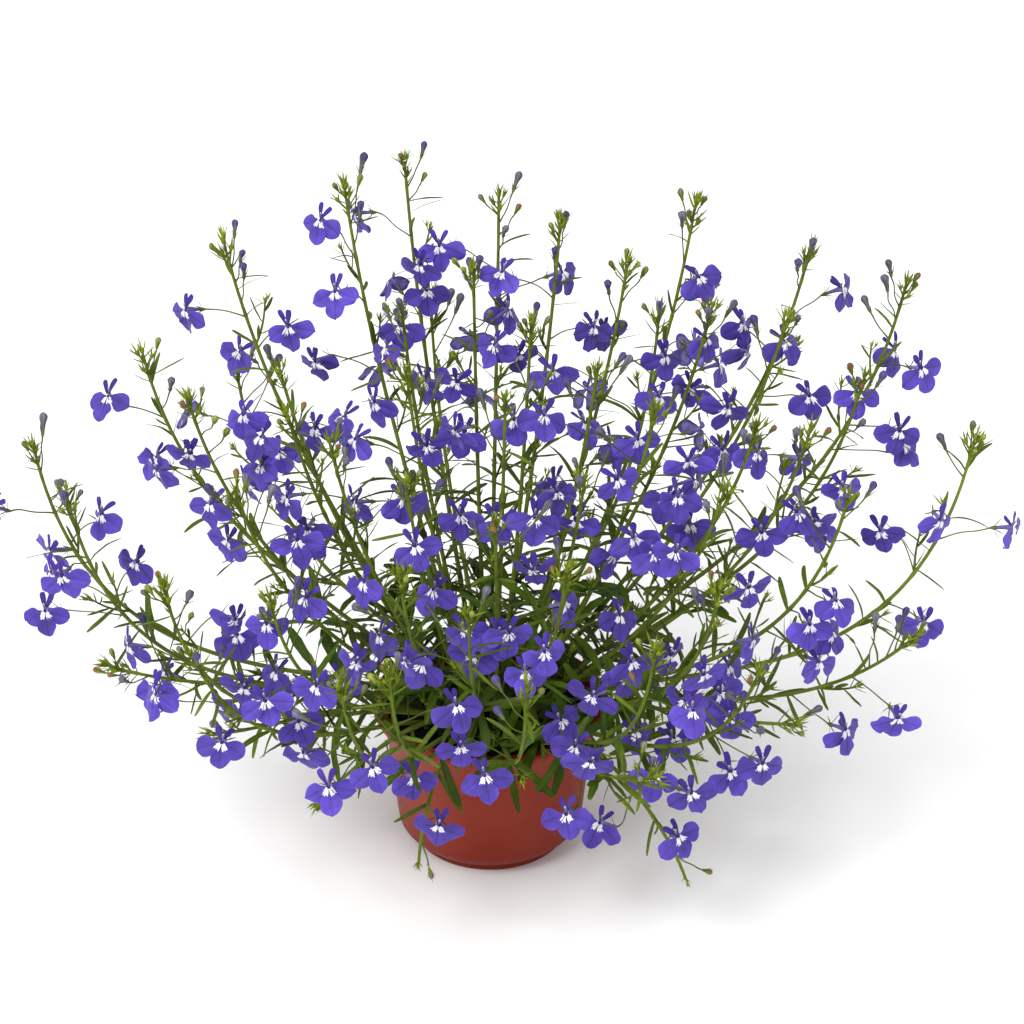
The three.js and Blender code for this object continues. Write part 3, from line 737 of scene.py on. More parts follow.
# ---- growing the plant
@dataclass
class Growth:
    """Grows the stems and all that stands on them, in the order that the solids were grown in."""

    space: Space = field(default_factory=Space)
    stems: list[Stem] = field(default_factory=list)
    foot_spacing: float = 4.7
    foot_limit: float = 38.0
    bloom_spacing: float = 16.0
    leaf_spacing: float = 38.0
    small_clearance: float = 0.25

    def place_feet(self) -> list[Vec]:
        """Returns each stem's foot: under its tip, drawn in to the crown, and none too close."""
        feet = [[x * (0.1988 - 0.0003 * z), y * (0.1988 - 0.0003 * z)] for x, y, z, _ in STEM_TIPS]
        for _ in range(60):
            for i, one in enumerate(feet):
                for other in feet[:i]:
                    dx = one[0] - other[0]
                    dy = one[1] - other[1]
                    apart = math.sqrt(dx * dx + dy * dy)
                    if apart >= self.foot_spacing:
                        continue
                    push = (self.foot_spacing - apart) / (2 * apart)
                    one[0] += dx * push
                    one[1] += dy * push
                    other[0] -= dx * push
                    other[1] -= dy * push
        for foot in feet:
            out = math.sqrt(foot[0] * foot[0] + foot[1] * foot[1])
            if out > self.foot_limit:
                foot[0] *= self.foot_limit / out
                foot[1] *= self.foot_limit / out
        return [(x, y, SOIL_TOP + STEM.rise) for x, y in feet]

    def grow_stems(self) -> None:
        """Draws the stems, each turned aside until it is clear of the ones before."""
        feet = self.place_feet()
        for order, (x, y, z, blooms) in enumerate(STEM_TIPS):
            draw = Draws(Series.STEM + order)
            lean = draw(-0.16, 0.16)
            line = None
            for step in (0, 1, -1, 2, -2, 3, -3, 4, -4, 5, -5):
                line = centreline(feet[order], (x, y, z), lean + step * 0.075)
                if self.space.is_clear(line.balls()):
                    break
            self.space.keep(line.balls())
            self.stems.append(Stem(order, line, blooms, draw(0, 360)))

    def place_joints(self, stem: Stem) -> None:
        """Sets a stem's joints from the top down: for the bud, the blooms and the leaves."""
        draw = Draws(Series.JOINTS + stem.order)
        first = 20 + 0.07 * stem.line.length
        places = [(12 + draw(-2, 2), JointKind.BUD)]
        places += [(first + self.bloom_spacing * n + draw(-4, 4), JointKind.BLOOM)
                   for n in range(stem.blooms)]
        start = first + self.bloom_spacing * stem.blooms
        room = stem.line.length - 13 - start
        spaces = max(1, math.floor(room / self.leaf_spacing + 0.5))
        places += [(start + (room * n) / spaces, JointKind.LEAF) for n in range(spaces + 1)]
        stem.joints = [Joint(distance, kind, stem.turn + n * TURN)
                       for n, (distance, kind) in enumerate(places)]

    def settle(self, joint: Joint, turn: float, pose: Callable[[float, int], Pose]) -> None:
        """Gives a joint a piece at the first of its PLACES that is clear.

        Args:
            joint: the joint.
            turn: the angle of the first try, in degrees.
            pose: makes the piece's pose for an angle and a try.
        """
        for attempt in range(PLACES):
            if joint.pieces:
                angle = joint.pieces[0].angle + (2 * math.pi / 3) * (1 + attempt % 2)
            else:
                angle = math.radians(turn + attempt * 53)
            made = pose(angle, attempt)
            balls = made.balls()
            if made.looks_back or not self.space.is_clear(balls):
                continue
            self.space.keep(balls)
            joint.pieces.append(Piece(angle, made))
            return

    def add_bud(self, stem: Stem, joint: Joint, rank: int) -> None:
        """Adds the stalked bud of a stem's first joint."""
        draw = Draws(Series.BUD + stem.order)
        length = 15 + draw(-3, 3)
        spread = math.radians(34)
        seed = Series.BUD + stem.order + rank
        self.settle(joint, joint.turn, lambda angle, _: pose_bud(
            stem.line, joint.distance, angle, length, spread, seed))

    def add_bloom(self, stem: Stem, joint: Joint, rank: int) -> None:
        """Adds an open bloom."""
        draw = Draws(Series.BLOOM + stem.order * 20 + rank)
        length = 20 + 1.6 * rank + draw(-2, 4)
        self.settle(joint, joint.turn, lambda angle, attempt: pose_bloom(
            stem.line, joint.distance, angle, length * (1 - 0.03 * (attempt % 5)), draw))

    def add_leaf(self, stem: Stem, joint: Joint, rank: int) -> None:
        """Adds a leaf, broader and longer the closer its joint is to the stem's foot."""
        seed = Series.LEAF + stem.order * 20 + rank
        draw = Draws(seed)
        share = min(joint.distance / stem.line.length, 1)
        length = (13 + 16 * share) * draw(0.85, 1.15)
        width = 1.5 + 5 * share * share
        self.settle(joint, joint.turn, lambda angle, attempt: pose_leaf(
            stem.line, joint.distance, angle, length * (1 - 0.035 * attempt), width,
            math.radians(52 + 3 * attempt), seed + 7 * len(joint.pieces)))

    def visit(self, kind: JointKind, add: Callable[[Stem, Joint, int], None]) -> None:
        """Calls add for the joints of one kind, rank by rank over all stems."""
        for rank in range(max(len(stem.joints) for stem in self.stems)):
            for stem in self.stems:
                if rank < len(stem.joints) and stem.joints[rank].kind is kind:
                    add(stem, stem.joints[rank], rank)

    def add_uppermost_leaf(self, stem: Stem, joint: Joint, rank: int) -> None:
        """Adds one leaf at the stalk of a stem's uppermost bloom."""
        if rank == 1:
            self.add_leaf(stem, joint, rank)

    def squeeze_in(self, stem: Stem, tries: Iterable[Pose]) -> None:
        """Adds the first small pose that is clear.

        Args:
            stem: the stem that it grows on.
            tries: the poses to try.
        """
        for made in tries:
            balls = made.balls()
            if any(before_bare_rim(ball) for ball in balls):
                continue
            if self.space.is_clear(balls[1:], self.small_clearance):
                self.space.keep(balls[1:])
                stem.extras.append(made)
                return

    def add_shoots(self, stem: Stem) -> None:
        """Adds short leafy side shoots in the axils of the middle of a stem."""
        draw = Draws(Series.SHOOTS + stem.order)
        distance = 38.0 + draw(0, 24)
        while distance < stem.line.length - 12:
            seed = Series.SHOOT + stem.order * 40 + int(distance)
            length = draw(9, 24)
            turn = draw(0, 360)
            self.squeeze_in(stem, (
                pose_shoot(stem.line, distance, math.radians(turn + 67 * n), length - n, seed)
                for n in range(8)))
            distance += draw(26, 44)

    def add_small_buds(self, stem: Stem) -> None:
        """Adds more stalked buds round the first one, save on the stems that hang low."""
        draw = Draws(Series.SMALL_BUDS + stem.order)
        for distance in (5.0, 9.0, 18.0, 27.0):
            seed = Series.SMALL_BUD + stem.order * 10 + int(distance)
            length = draw(4, 10) if distance < 10 else draw(13, 25)
            turn = draw(0, 360)
            spread = draw(0.5, 1.15)
            if stem.hangs or draw.chance(0.3):
                continue
            self.squeeze_in(stem, (
                pose_bud(stem.line, distance, math.radians(turn + 71 * n), length, spread, seed)
                for n in range(6)))

    def add_small_leaves(self, stem: Stem, start: int, spacing: float) -> None:
        """Adds narrow leaves all along a stem, broader ones near its foot.

        Args:
            stem: the stem.
            start: the seed of the round.
            spacing: the mean distance between two leaves.
        """
        draw = Draws(start + stem.order)
        distance = 9.0 + draw(0, 2 * spacing)
        turn = draw(0, 360)
        while distance < stem.line.length - 3:
            share = distance / stem.line.length
            length = (14 + 13 * share) * draw(0.7, 1.25)
            width = (1.5 + 4.8 * share ** 1.7) * draw(0.8, 1.15)
            lift = draw(46, 92)
            seed = start + stem.order * 60 + int(distance)
            self.squeeze_in(stem, (
                pose_leaf(stem.line, distance, math.radians(turn + 77 * n),
                          length * (1 - 0.06 * n), width, math.radians(lift + 2 * n), seed)
                for n in range(8)))
            turn += TURN
            distance += spacing * draw(0.7, 1.3) * (2.5 - 1.85 * share)

    def grow(self) -> list[Stem]:
        """Grows the whole plant.

        Returns:
            The stems with their joints and small pieces.
        """
        self.grow_stems()
        for stem in self.stems:
            self.place_joints(stem)
        self.visit(JointKind.BUD, self.add_bud)
        self.visit(JointKind.BLOOM, self.add_bloom)
        self.visit(JointKind.LEAF, self.add_leaf)
        self.visit(JointKind.LEAF, self.add_leaf)
        self.visit(JointKind.BLOOM, self.add_uppermost_leaf)
        for add in (self.add_small_buds, self.add_shoots):
            for stem in self.stems:
                add(stem)
        for start, spacing in ((Series.SMALL_LEAVES, 13.5), (Series.MORE_LEAVES, 17.0)):
            for stem in self.stems:
                self.add_small_leaves(stem, start, spacing)
        return self.stems


# ---- meshes
class Surface:
    """Closed surfaces gathered into one mesh, with a tint and a place on every vertex."""

    def __init__(self) -> None:
        """Starts empty."""
        self.points: list[Array] = []
        self.tints: list[Array] = []
        self.places: list[Array] = []
        self.faces: list[list[int]] = []
        self.count = 0

    def add(self, points: Array, faces: list[list[int]], tint: Array, place: Array) -> None:
        """Adds vertices with their faces.

        Args:
            points: the places of the vertices, in millimetres.
            faces: lists of indices into points.
            tint: red, green, blue and a mask, for all vertices or for each.
            place: three numbers that a finish reads, for all vertices or for each.
        """
        size = len(points)
        self.points.append(points)
        self.tints.append(np.broadcast_to(tint, (size, 4)))
        self.places.append(np.broadcast_to(place, (size, 3)))
        self.faces.extend([[self.count + n for n in face] for face in faces])
        self.count += size

    def loft(self, rings: Array, tint: Array, place: Array = np.zeros(3)) -> None:
        """Adds a closed skin through rings of equal size, with its ends capped.

        Args:
            rings: points by ring and place round it.
            tint: tints that broadcast to the rings' shape.
            place: places that broadcast to the rings' shape.
        """
        rows, sides, _ = rings.shape
        flat = rings.reshape(-1, 3)
        low = np.arange((rows - 1) * sides).reshape(rows - 1, sides)
        low_next = np.roll(low, -1, axis=1)
        quads = np.stack([low, low_next, low_next + sides, low + sides], axis=-1).reshape(-1, 4)
        first = list(range(sides))
        last = [(rows - 1) * sides + n for n in range(sides)]
        if self._encloses(flat, quads) < 0:
            faces = quads[:, ::-1].tolist() + [first, last[::-1]]
        else:
            faces = quads.tolist() + [first[::-1], last]
        tints = np.broadcast_to(tint, (rows, sides, 4)).reshape(-1, 4)
        places = np.broadcast_to(place, (rows, sides, 3)).reshape(-1, 3)
        self.add(flat, faces, tints, places)

    @staticmethod
    def _encloses(points: Array, quads: Array) -> float:
        """Returns six times the volume within the quads, negative where they face in."""
        p = points - points.mean(axis=0)
        a, b, c, d = (p[quads[:, n]] for n in range(4))
        halves = (np.einsum("ij,ij->", a, np.cross(b, c)), np.einsum("ij,ij->", a, np.cross(c, d)))
        return float(sum(halves))

    def piece(self, name: str, material: Material, sharp: float = 75.0) -> Object:
        """Makes the mesh and its object, in metres.

        Args:
            name: the object's name.
            material: its finish.
            sharp: the angle in degrees past which an edge stays sharp.

        Returns:
            The object, linked to the scene.
        """
        mesh = bpy.data.meshes.new(name)
        points = np.concatenate(self.points) * MM
        mesh.from_pydata(points.tolist(), [], self.faces)
        tint = mesh.attributes.new("tint", "FLOAT_COLOR", "POINT")
        tint.data.foreach_set("color", np.concatenate(self.tints).astype(np.float32).ravel())
        place = mesh.attributes.new("place", "FLOAT_VECTOR", "POINT")
        place.data.foreach_set("vector", np.concatenate(self.places).astype(np.float32).ravel())
        mesh.polygons.foreach_set("use_smooth", [True] * len(mesh.polygons))
        mesh.set_sharp_from_angle(angle=math.radians(sharp))
        mesh.materials.append(material)
        return into_scene(name, mesh)


def into_scene(name: str, data: bpy.types.ID) -> Object:
    """Returns a new object of the scene that shows this data."""
    made = bpy.data.objects.new(name, data)
    bpy.context.scene.collection.objects.link(made)
    return made


def linear(red: int, green: int, blue: int, mask: float = 0.0) -> Array:
    """Returns a screen colour of 0 to 255 as linear light, with a mask as its fourth number."""
    screen = np.array([red, green, blue]) / 255
    light = np.where(screen <= 0.04045, screen / 12.92, ((screen + 0.055) / 1.055) ** 2.4)
    return np.append(light, mask)


def toned(tint: Array, tone: float) -> Array:
    """Returns a tint made lighter or darker by a factor, with its mask kept."""
    return np.append(tint[..., :3] * tone, tint[..., 3])


def row(points: Iterable[Vec]) -> Array:
    """Returns points as an array."""
    return np.array(list(points), dtype=float)


def swung(a: Array, b: Array, angle: float) -> Array:
    """Returns the direction at an angle from a towards b, in radians."""
    return a * math.cos(angle) + b * math.sin(angle)


def rotated(x: Array, y: Array, angle: float) -> tuple[Array, Array]:
    """Returns the places x, y turned by an angle in radians."""
    c = math.cos(angle)
    s = math.sin(angle)
    return x * c - y * s, x * s + y * c


def lengthened(v: Array) -> Array:
    """Returns vectors at length one."""
    return v / np.maximum(np.linalg.norm(v, axis=-1, keepdims=True), 1e-9)


def square_to(axis: Array) -> tuple[Array, Array]:
    """Returns two directions square to an axis."""
    side = lengthened(np.cross(axis, [0.4, -0.3, 0.87]))
    return side, np.cross(axis, side)


def frames(path: Array, hint: Vec | Array) -> tuple[Array, Array, Array]:
    """Works out the axes along a path, with no twist.

    Args:
        path: the points of the path.
        hint: the direction that the first axis starts close to.

    Returns:
        The path's directions, and two directions square to them, at each point.
    """
    ahead = lengthened(np.gradient(path, axis=0))
    side = np.empty_like(path)
    last = np.array(hint, dtype=float)
    for n, direction in enumerate(ahead):
        last = last - direction * last.dot(direction)
        last = last / max(np.linalg.norm(last), 1e-9)
        side[n] = last
    return ahead, side, np.cross(ahead, side)


def turns_round(count: int) -> Array:
    """Returns evenly spaced angles round a circle."""
    return np.arange(count) * 2 * math.pi / count


def round_rings(
    path: Array, radii: Array, sides: int, hint: Vec | Array, ribs: float = 0.0
) -> Array:
    """Returns rings round a path.

    Args:
        path: the points of the path.
        radii: the radius at each point.
        sides: corners of a ring.
        hint: the direction of the first corner.
        ribs: how far every second corner stands in, as a share of the radius.

    Returns:
        Points by ring and place round it.
    """
    _, side, over = frames(path, hint)
    turns = turns_round(sides)
    ribbed = 1 - ribs * (np.arange(sides) % 2)
    x = (np.cos(turns) * ribbed)[None, :, None]
    y = (np.sin(turns) * ribbed)[None, :, None]
    return path[:, None] + radii[:, None, None] * (side[:, None] * x + over[:, None] * y)


# ---- tints
class Green:
    """The tints of stems, leaves, buds and calyxes."""

    OLD_STEM = linear(104, 118, 46)
    YOUNG_STEM = linear(98, 116, 26)
    STALK = linear(84, 102, 34)
    OLD_LEAF = linear(54, 78, 2, 1.0)
    YOUNG_LEAF = linear(84, 102, 28, 1.0)
    BRACT = linear(126, 141, 32, 1.0)
    CALYX = linear(98, 114, 26)
    SEPAL = linear(66, 82, 34, 1.0)
    BUD = linear(132, 142, 52)
    BUD_NECK = linear(112, 116, 104)
    BUD_TIPS = (linear(84, 74, 124), linear(108, 106, 122), linear(126, 128, 108),
                linear(142, 98, 70), linear(140, 146, 66))


class Violet:
    """The tints of a bloom. The mask says how much of the white eye, the veins, and the painted
    crease shade and edge highlight shows.
    """

    LOWER = linear(88, 68, 174, 1.0)
    UNDERSIDE = linear(134, 120, 196)
    UPPER = linear(64, 42, 140)
    TUBE = linear(130, 116, 180)
    # The throat's reddish purple, darkened as painted shade for the depth of the open tube.
    SHADED_THROAT = linear(70, 30, 92)
    ANTHER = linear(112, 108, 140)
    ANTHER_TIP = linear(206, 202, 212)


def blend(a: Array, b: Array, share: float | Array) -> Array:
    """Returns the tints between a and b."""
    mixed = np.asarray(share, dtype=float)[..., None]
    return a * (1 - mixed) + b * mixed


def smooth_step(low: float, high: float, value: float | Array) -> float | Array:
    """Returns 0 below low, 1 above high, and a smooth rise between."""
    t = np.clip((np.asarray(value, dtype=float) - low) / (high - low), 0, 1)
    return t * t * (3 - 2 * t)


# ---- a stem with its green parts
@dataclass
class LeafyStem:
    """A stem with its leaves, stalks, calyxes, buds, side shoots and spiky tip."""

    stem: Stem
    foot_radius: float = 1.22
    end_radius: float = 0.68
    ring_spacing: float = 3.6
    sides: int = 10
    ribs: float = 0.13
    peg_bottom: float = 53.0
    swelling: float = 1.7
    stalk_radius: float = 0.3
    tip_heads: int = 5
    skin: Surface = field(default_factory=Surface)

    def radius(self, distance: float) -> float:
        """Returns the stem's radius, a little thicker at the joints."""
        share = distance / self.stem.line.length
        plain = self.end_radius + (self.foot_radius - self.end_radius) * share
        swell = sum(math.exp(-((distance - joint.distance) / self.swelling) ** 2)
                    for joint in self.stem.joints)
        return plain * (1 + 0.28 * min(swell, 1))

    def grow_stem(self) -> None:
        """Adds the stem itself, from inside the compost to its end."""
        line = self.stem.line
        count = max(8, int(line.length / self.ring_spacing))
        distances = np.linspace(line.length, 0.0, count)
        path = row(line.along(float(d)).at for d in distances)
        radii = np.array([self.radius(float(d)) for d in distances])
        x, y, _ = path[0]
        path = np.concatenate([[[x, y, self.peg_bottom], [x, y, SOIL_TOP]], path])
        radii = np.concatenate([radii[:1], radii[:1], radii])
        rings = round_rings(path, radii, self.sides, line.along(line.length).across, self.ribs)
        youth = np.concatenate([[0, 0], 1 - distances / line.length])
        draw = Draws(Series.STEM_TINT + self.stem.order)
        tints = blend(Green.OLD_STEM * draw(0.8, 1.25), Green.YOUNG_STEM * draw(0.85, 1.15), youth)
        self.skin.loft(rings, tints[:, None])

    def grow_stalk(self, pose: Stalked, end: Array, draw: Draws) -> Array:
        """Adds a thin stalk.

        Args:
            pose: the curve that the stalk follows.
            end: where it ends.
            draw: the piece's series.

        Returns:
            The stalk's course at its end.
        """
        t = np.linspace(0, 1, 11)
        path = pose.path(len(t))
        path += (t ** 2)[:, None] * (end - path[-1])
        ahead, side, over = frames(path, pose.leave[::-1])
        wave = np.sin(t * math.pi * draw(1.2, 2.1)) * np.sin(t * math.pi) * draw(0.3, 0.9)
        path += wave[:, None] * swung(side, over, draw(0, 2 * math.pi))
        radii = self.stalk_radius * (1 + 0.5 * (1 - t) ** 6 + 0.35 * t ** 5)
        tint = toned(Green.STALK, draw(0.75, 1.25))
        rings = round_rings(path, radii, 6, side[0])
        self.skin.loft(rings, tint)
        return ahead[-1]

    def grow_spike(self, path: Array, across: Array, width: float, tint: Array) -> None:
        """Adds a small pointed leaf.

        Args:
            path: points from its foot to its point.
            across: the direction of its width.
            width: its greatest width.
            tint: its tint.
        """
        share = np.linspace(0, 1, len(path))
        half = 0.5 * width * np.interp(share, [0, 0.3, 0.7, 1], [0.6, 1.0, 0.72, 0.06])
        _, side, over = frames(path, across)
        edge = side * half[:, None]
        back = over * half[:, None] * 0.42
        rings = np.stack([path + edge, path + back, path - edge, path - back], axis=1)
        places = np.zeros(rings.shape)
        places[..., 0] = share[:, None]
        self.skin.loft(rings, tint, places)

    def grow_blade(
        self,
        path: Array,
        across: Array,
        width: float,
        tint: Array,
        draw: Draws,
        rows: int,
        teeth: int = 0,
    ) -> None:
        """Adds a leaf's blade.

        Args:
            path: points of the midrib, the first one on the stem.
            across: the direction of the width.
            width: the greatest width.
            tint: the blade's tint.
            draw: the leaf's series.
            rows: sections along the blade.
            teeth: teeth on each edge.
        """
        share = np.linspace(0, 1, rows)
        given = np.linspace(0, 1, len(path))
        at = np.stack([np.interp(share, given, path[:, n]) for n in range(3)], 1)
        ahead, side, _ = frames(at, across)
        above = np.cross(ahead, side)
        above *= np.sign(above[:, 2].mean()) or 1.0
        broad = min(max((width - 2.2) / 3.0, 0), 1)
        slim = np.clip(share, 0.02, 1) ** 0.35 * np.clip(1.02 - share, 0.02, 1) ** 0.38
        full = np.clip(share, 0.08, 1) ** 1.25 * np.clip(1.03 - share, 0.03, 1) ** 0.62
        outline = (1 - broad) * slim / slim.max() + broad * full / full.max()
        half = 0.5 * width * outline
        if teeth:
            phase = (share * teeth) % 1.0
            half = half + 0.34 * np.where(share > 0.3, phase ** 2, 0) * np.clip(4 - 4 * share, 0, 1)
        twist = draw(-0.7, 0.7) * share
        turned = side * np.cos(twist)[:, None] + above * np.sin(twist)[:, None]
        raised = above * np.cos(twist)[:, None] - side * np.sin(twist)[:, None]
        columns = np.array([-1.0, -0.55, 0.0, 0.55, 1.0] if width > 2.4 else [-1.0, 0.0, 1.0])
        fold = draw(-0.05, 0.42)
        ripple = draw(0.0, 0.16) * np.sin(share * draw(9, 15) + draw(0, 6))
        thick = np.maximum(0.3 * np.minimum(half, 0.9), 0.06)
        top = at[:, None] + turned[:, None] * (half[:, None] * columns)[..., None]
        rise = half[:, None] * (fold * np.abs(columns) + ripple[:, None] * columns ** 2)
        top = top + raised[:, None] * rise[..., None]
        crown = (1 - columns ** 2)[None, :] * thick[:, None]
        upper = top + raised[:, None] * (0.35 * crown)[..., None]
        keel = 0.18 * thick[:, None] * (columns == 0)
        lower = top - raised[:, None] * (0.65 * crown + keel)[..., None]
        rings = np.concatenate([upper, lower[:, -2:0:-1]], axis=1)
        loop_columns = np.concatenate([columns, columns[-2:0:-1]])
        under = np.arange(len(loop_columns)) >= len(columns)
        places = np.zeros(rings.shape)
        places[..., 0] = share[:, None]
        places[..., 1] = loop_columns * half[:, None]
        places[..., 2] = width
        tints = np.where(under[None, :, None], np.append(tint[:3] * 1.12 + 0.012, 1.0), tint)
        self.skin.loft(rings, tints, places)

    def grow_leaf(self, pose: LeafPose) -> None:
        """Adds a leaf where its pose says."""
        draw = Draws(pose.seed + 13)
        large = pose.width > 3.2
        steps = np.linspace(0, 1, 9)
        path = pose.path(len(steps))
        ahead = lengthened(path[-1] - path[0])
        across = np.array(pose.across)
        bow = np.cross(ahead, across) * draw(-8.0, 8.0) * pose.length / 25
        sway = across * draw(-6.0, 6.0) * (0.3 if large else 1.0) * pose.length / 25
        path += (steps ** 2 * (1 - 0.3 * steps))[:, None] * bow + (steps ** 2.4)[:, None] * sway
        age = min(max((pose.width - 1.4) / 3.0, 0), 1)
        tint = blend(Green.YOUNG_LEAF, Green.OLD_LEAF, age * draw(0.6, 1.2))
        rows, teeth = (15, 4) if large else (9, 0)
        self.grow_blade(path, across, pose.width, toned(tint, draw(0.62, 1.36)), draw, rows, teeth)

    def grow_calyx(
        self,
        at: Array,
        axis: Array,
        draw: Draws,
        size: float = 1.0,
        spreads: tuple[float, float] = (0.7, 1.45),
    ) -> None:
        """Adds the green cup that holds a bloom or a bud, with its five narrow sepals.

        Args:
            at: the middle of the cup's brim.
            axis: where the cup opens to.
            draw: the piece's series.
            size: a factor on its size.
            spreads: the least and greatest angle of a sepal to the axis, in radians.
        """
        hint = np.cross(axis, [0.3, 0.2, 1.0])
        share = np.array([0, 0.35, 0.75, 1.0])
        path = at + np.outer(share - 0.75, axis) * 2.6 * size
        radii = np.array([0.38, 0.72, 1.02, 0.98]) * size
        tint = toned(Green.CALYX, draw(0.8, 1.25))
        self.skin.loft(round_rings(path, radii, 8, hint), tint)
        _, side, over = frames(path, hint)
        start = draw(0, 1)
        steps = np.linspace(0, 1, 4)[:, None]
        for n in range(5):
            out = swung(side[2], over[2], (start + n / 5) * 2 * math.pi)
            lean = swung(axis, out, draw(*spreads))
            length = draw(4.2, 6.4) * size
            bow = axis * length * draw(-0.15, 0.35)
            sepal = at + out * 0.75 * size + steps * length * lean + steps ** 2 * bow
            tint = toned(Green.SEPAL, draw(0.8, 1.4))
            self.grow_spike(sepal, np.cross(axis, out), 0.62 * size, tint)

    def grow_bud_head(
        self, at: Array, axis: Array, draw: Draws, length: float, radius: float
    ) -> None:
        """Adds a closed flower on its calyx.

        Args:
            at: the middle of the calyx's brim.
            axis: where the bud points.
            draw: the bud's series.
            length: its length above the calyx.
            radius: its greatest radius.
        """
        hint = np.cross(axis, [0.25, 0.6, 0.8])
        bend = lengthened(hint) * draw(-0.16, 0.16) * length
        share = np.array([-0.05, 0.15, 0.35, 0.52, 0.68, 0.82, 0.93, 1.0])
        slim = np.array([0.42, 0.45, 0.52, 0.68, 0.93, 1.0, 0.72, 0.14])
        plump = np.array([0.5, 0.58, 0.78, 0.96, 1.0, 0.84, 0.5, 0.1])
        look = int(draw(0.0, 1.99) if length > 6 else draw(1.6, 5.0))
        length *= 1.15 if look < 2 else 0.9
        path = at + np.outer(share, axis) * length + np.outer(share ** 2, bend)
        shape = slim if look < 2 else plump
        rings = round_rings(path, radius * shape, 10, hint, 0.12)
        tone = draw(0.7, 1.2)
        foot = Green.BUD_NECK if look < 2 else Green.BUD
        tip = toned(Green.BUD_TIPS[look], tone)
        tints = blend(toned(foot, tone), tip, smooth_step(0.35, 0.8, share))
        # Painted light and shade: the ridges of the bud are lighter and the grooves between them
        # darker.
        ridge_light_and_groove_shade = np.where(np.arange(10) % 2 == 0, 1.25, 0.68)[:, None]
        self.skin.loft(rings, tints[:, None] * ridge_light_and_groove_shade)

    def grow_bud(self, pose: BudPose) -> None:
        """Adds a stalked bud where its pose says."""
        draw = Draws(pose.seed + 29)
        axis = np.array(pose.upward)
        end = np.array(pose.end)
        reach = gap(pose.joint, pose.end)
        size = 0.0 if self.stem.hangs else smooth_step(7.0, 20.0, reach + draw(-5, 3))
        self.grow_stalk(pose, end - axis * 1.6, draw)
        self.grow_calyx(end, axis, draw, 0.7 + 0.15 * size, (0.1, 0.7))
        length = 4.4 + draw(2.6, 3.9) * size
        self.grow_bud_head(end, axis, draw, length, 1.25 + draw(0.5, 0.85) * size)

    def grow_flower_base(self, pose: BloomPose, order: int) -> None:
        """Adds the stalk and the calyx of an open bloom."""
        draw = Draws(Series.FLOWER_BASE + self.stem.order * 20 + order)
        axis = np.array(pose.tube)
        end = np.array(pose.end)
        stalk_end = self.grow_stalk(pose, end - axis * 1.5, draw)
        self.grow_calyx(end, lengthened(axis + 0.25 * stalk_end), draw)

    def grow_head(self, at: Array, axis: Array, draw: Draws, size: float) -> None:
        """Adds a small spiky head: a young bud between its pointed sepals.

        Args:
            at: the foot of the head.
            axis: where it points.
            draw: the head's series.
            size: a factor on its size.
        """
        hint, other = square_to(axis)
        tint = toned(Green.BRACT, draw(0.72, 1.15))
        share = np.array([0.0, 0.35, 0.7, 1.0])
        path = at + np.outer(share, axis) * 2.6 * size
        radii = np.array([0.4, 0.85, 0.8, 0.25]) * size
        self.skin.loft(round_rings(path, radii, 6, hint), tint * [1, 1, 1, 0])
        turn = draw(0, 2 * math.pi)
        steps = np.linspace(0, 1, 4)[:, None]
        for _ in range(5):
            turn += 2 * math.pi / 5
            out = swung(hint, other, turn)
            lean = swung(axis, out, draw(0.15, 0.6))
            length = draw(3.2, 5.2) * size
            spike = at + axis * 0.9 * size + out * 0.55 * size + steps * length * lean
            self.grow_spike(spike, np.cross(axis, out), 0.7 * size, toned(tint, draw(0.7, 1.2)))

    def grow_tip(self, at: Array, axis: Array, draw: Draws, heads: int, size: float) -> None:
        """Adds the cluster of spiky heads that ends a stem or a shoot, with bracts below it.

        Args:
            at: the end of the stem or shoot.
            axis: where it points.
            draw: the cluster's series.
            heads: how many heads it has.
            size: a factor on its size.
        """
        hint, other = square_to(axis)
        self.grow_head(at - axis * 0.6, axis, draw, size)
        turn = draw(0, 2 * math.pi)
        for n in range(1, heads):
            turn += math.radians(TURN)
            out = swung(hint, other, turn)
            foot = at - axis * (1.2 + 1.9 * n) * size
            lean = swung(axis, out, draw(0.35, 0.8))
            reach = draw(1.6, 4.6) * size
            stalk = foot + np.linspace(0, 1, 4)[:, None] * lean * reach
            rings = round_rings(stalk, np.full(4, 0.34 * size), 5, out)
            self.skin.loft(rings, Green.CALYX)
            upward = lengthened(lean + 0.5 * axis)
            self.grow_head(stalk[-1] - upward * 0.3, upward, draw, size * draw(0.75, 1.0))
        steps = np.linspace(0, 1, 6)[:, None]
        for n in range(heads):
            turn += math.radians(TURN)
            out = swung(hint, other, turn)
            lean = swung(axis, out, draw(0.75, 1.25))
            length = draw(4.5, 8.5) * size
            start = at - axis * (2.0 + 2.2 * n) * size
            bow = axis * length * draw(-0.1, 0.35)
            path = start + steps * lean * length + steps ** 2 * bow
            tint = blend(Green.YOUNG_LEAF, Green.BRACT, draw(0.1, 0.9))
            self.grow_spike(path, np.cross(lean, axis), draw(0.9, 1.3) * size, tint)

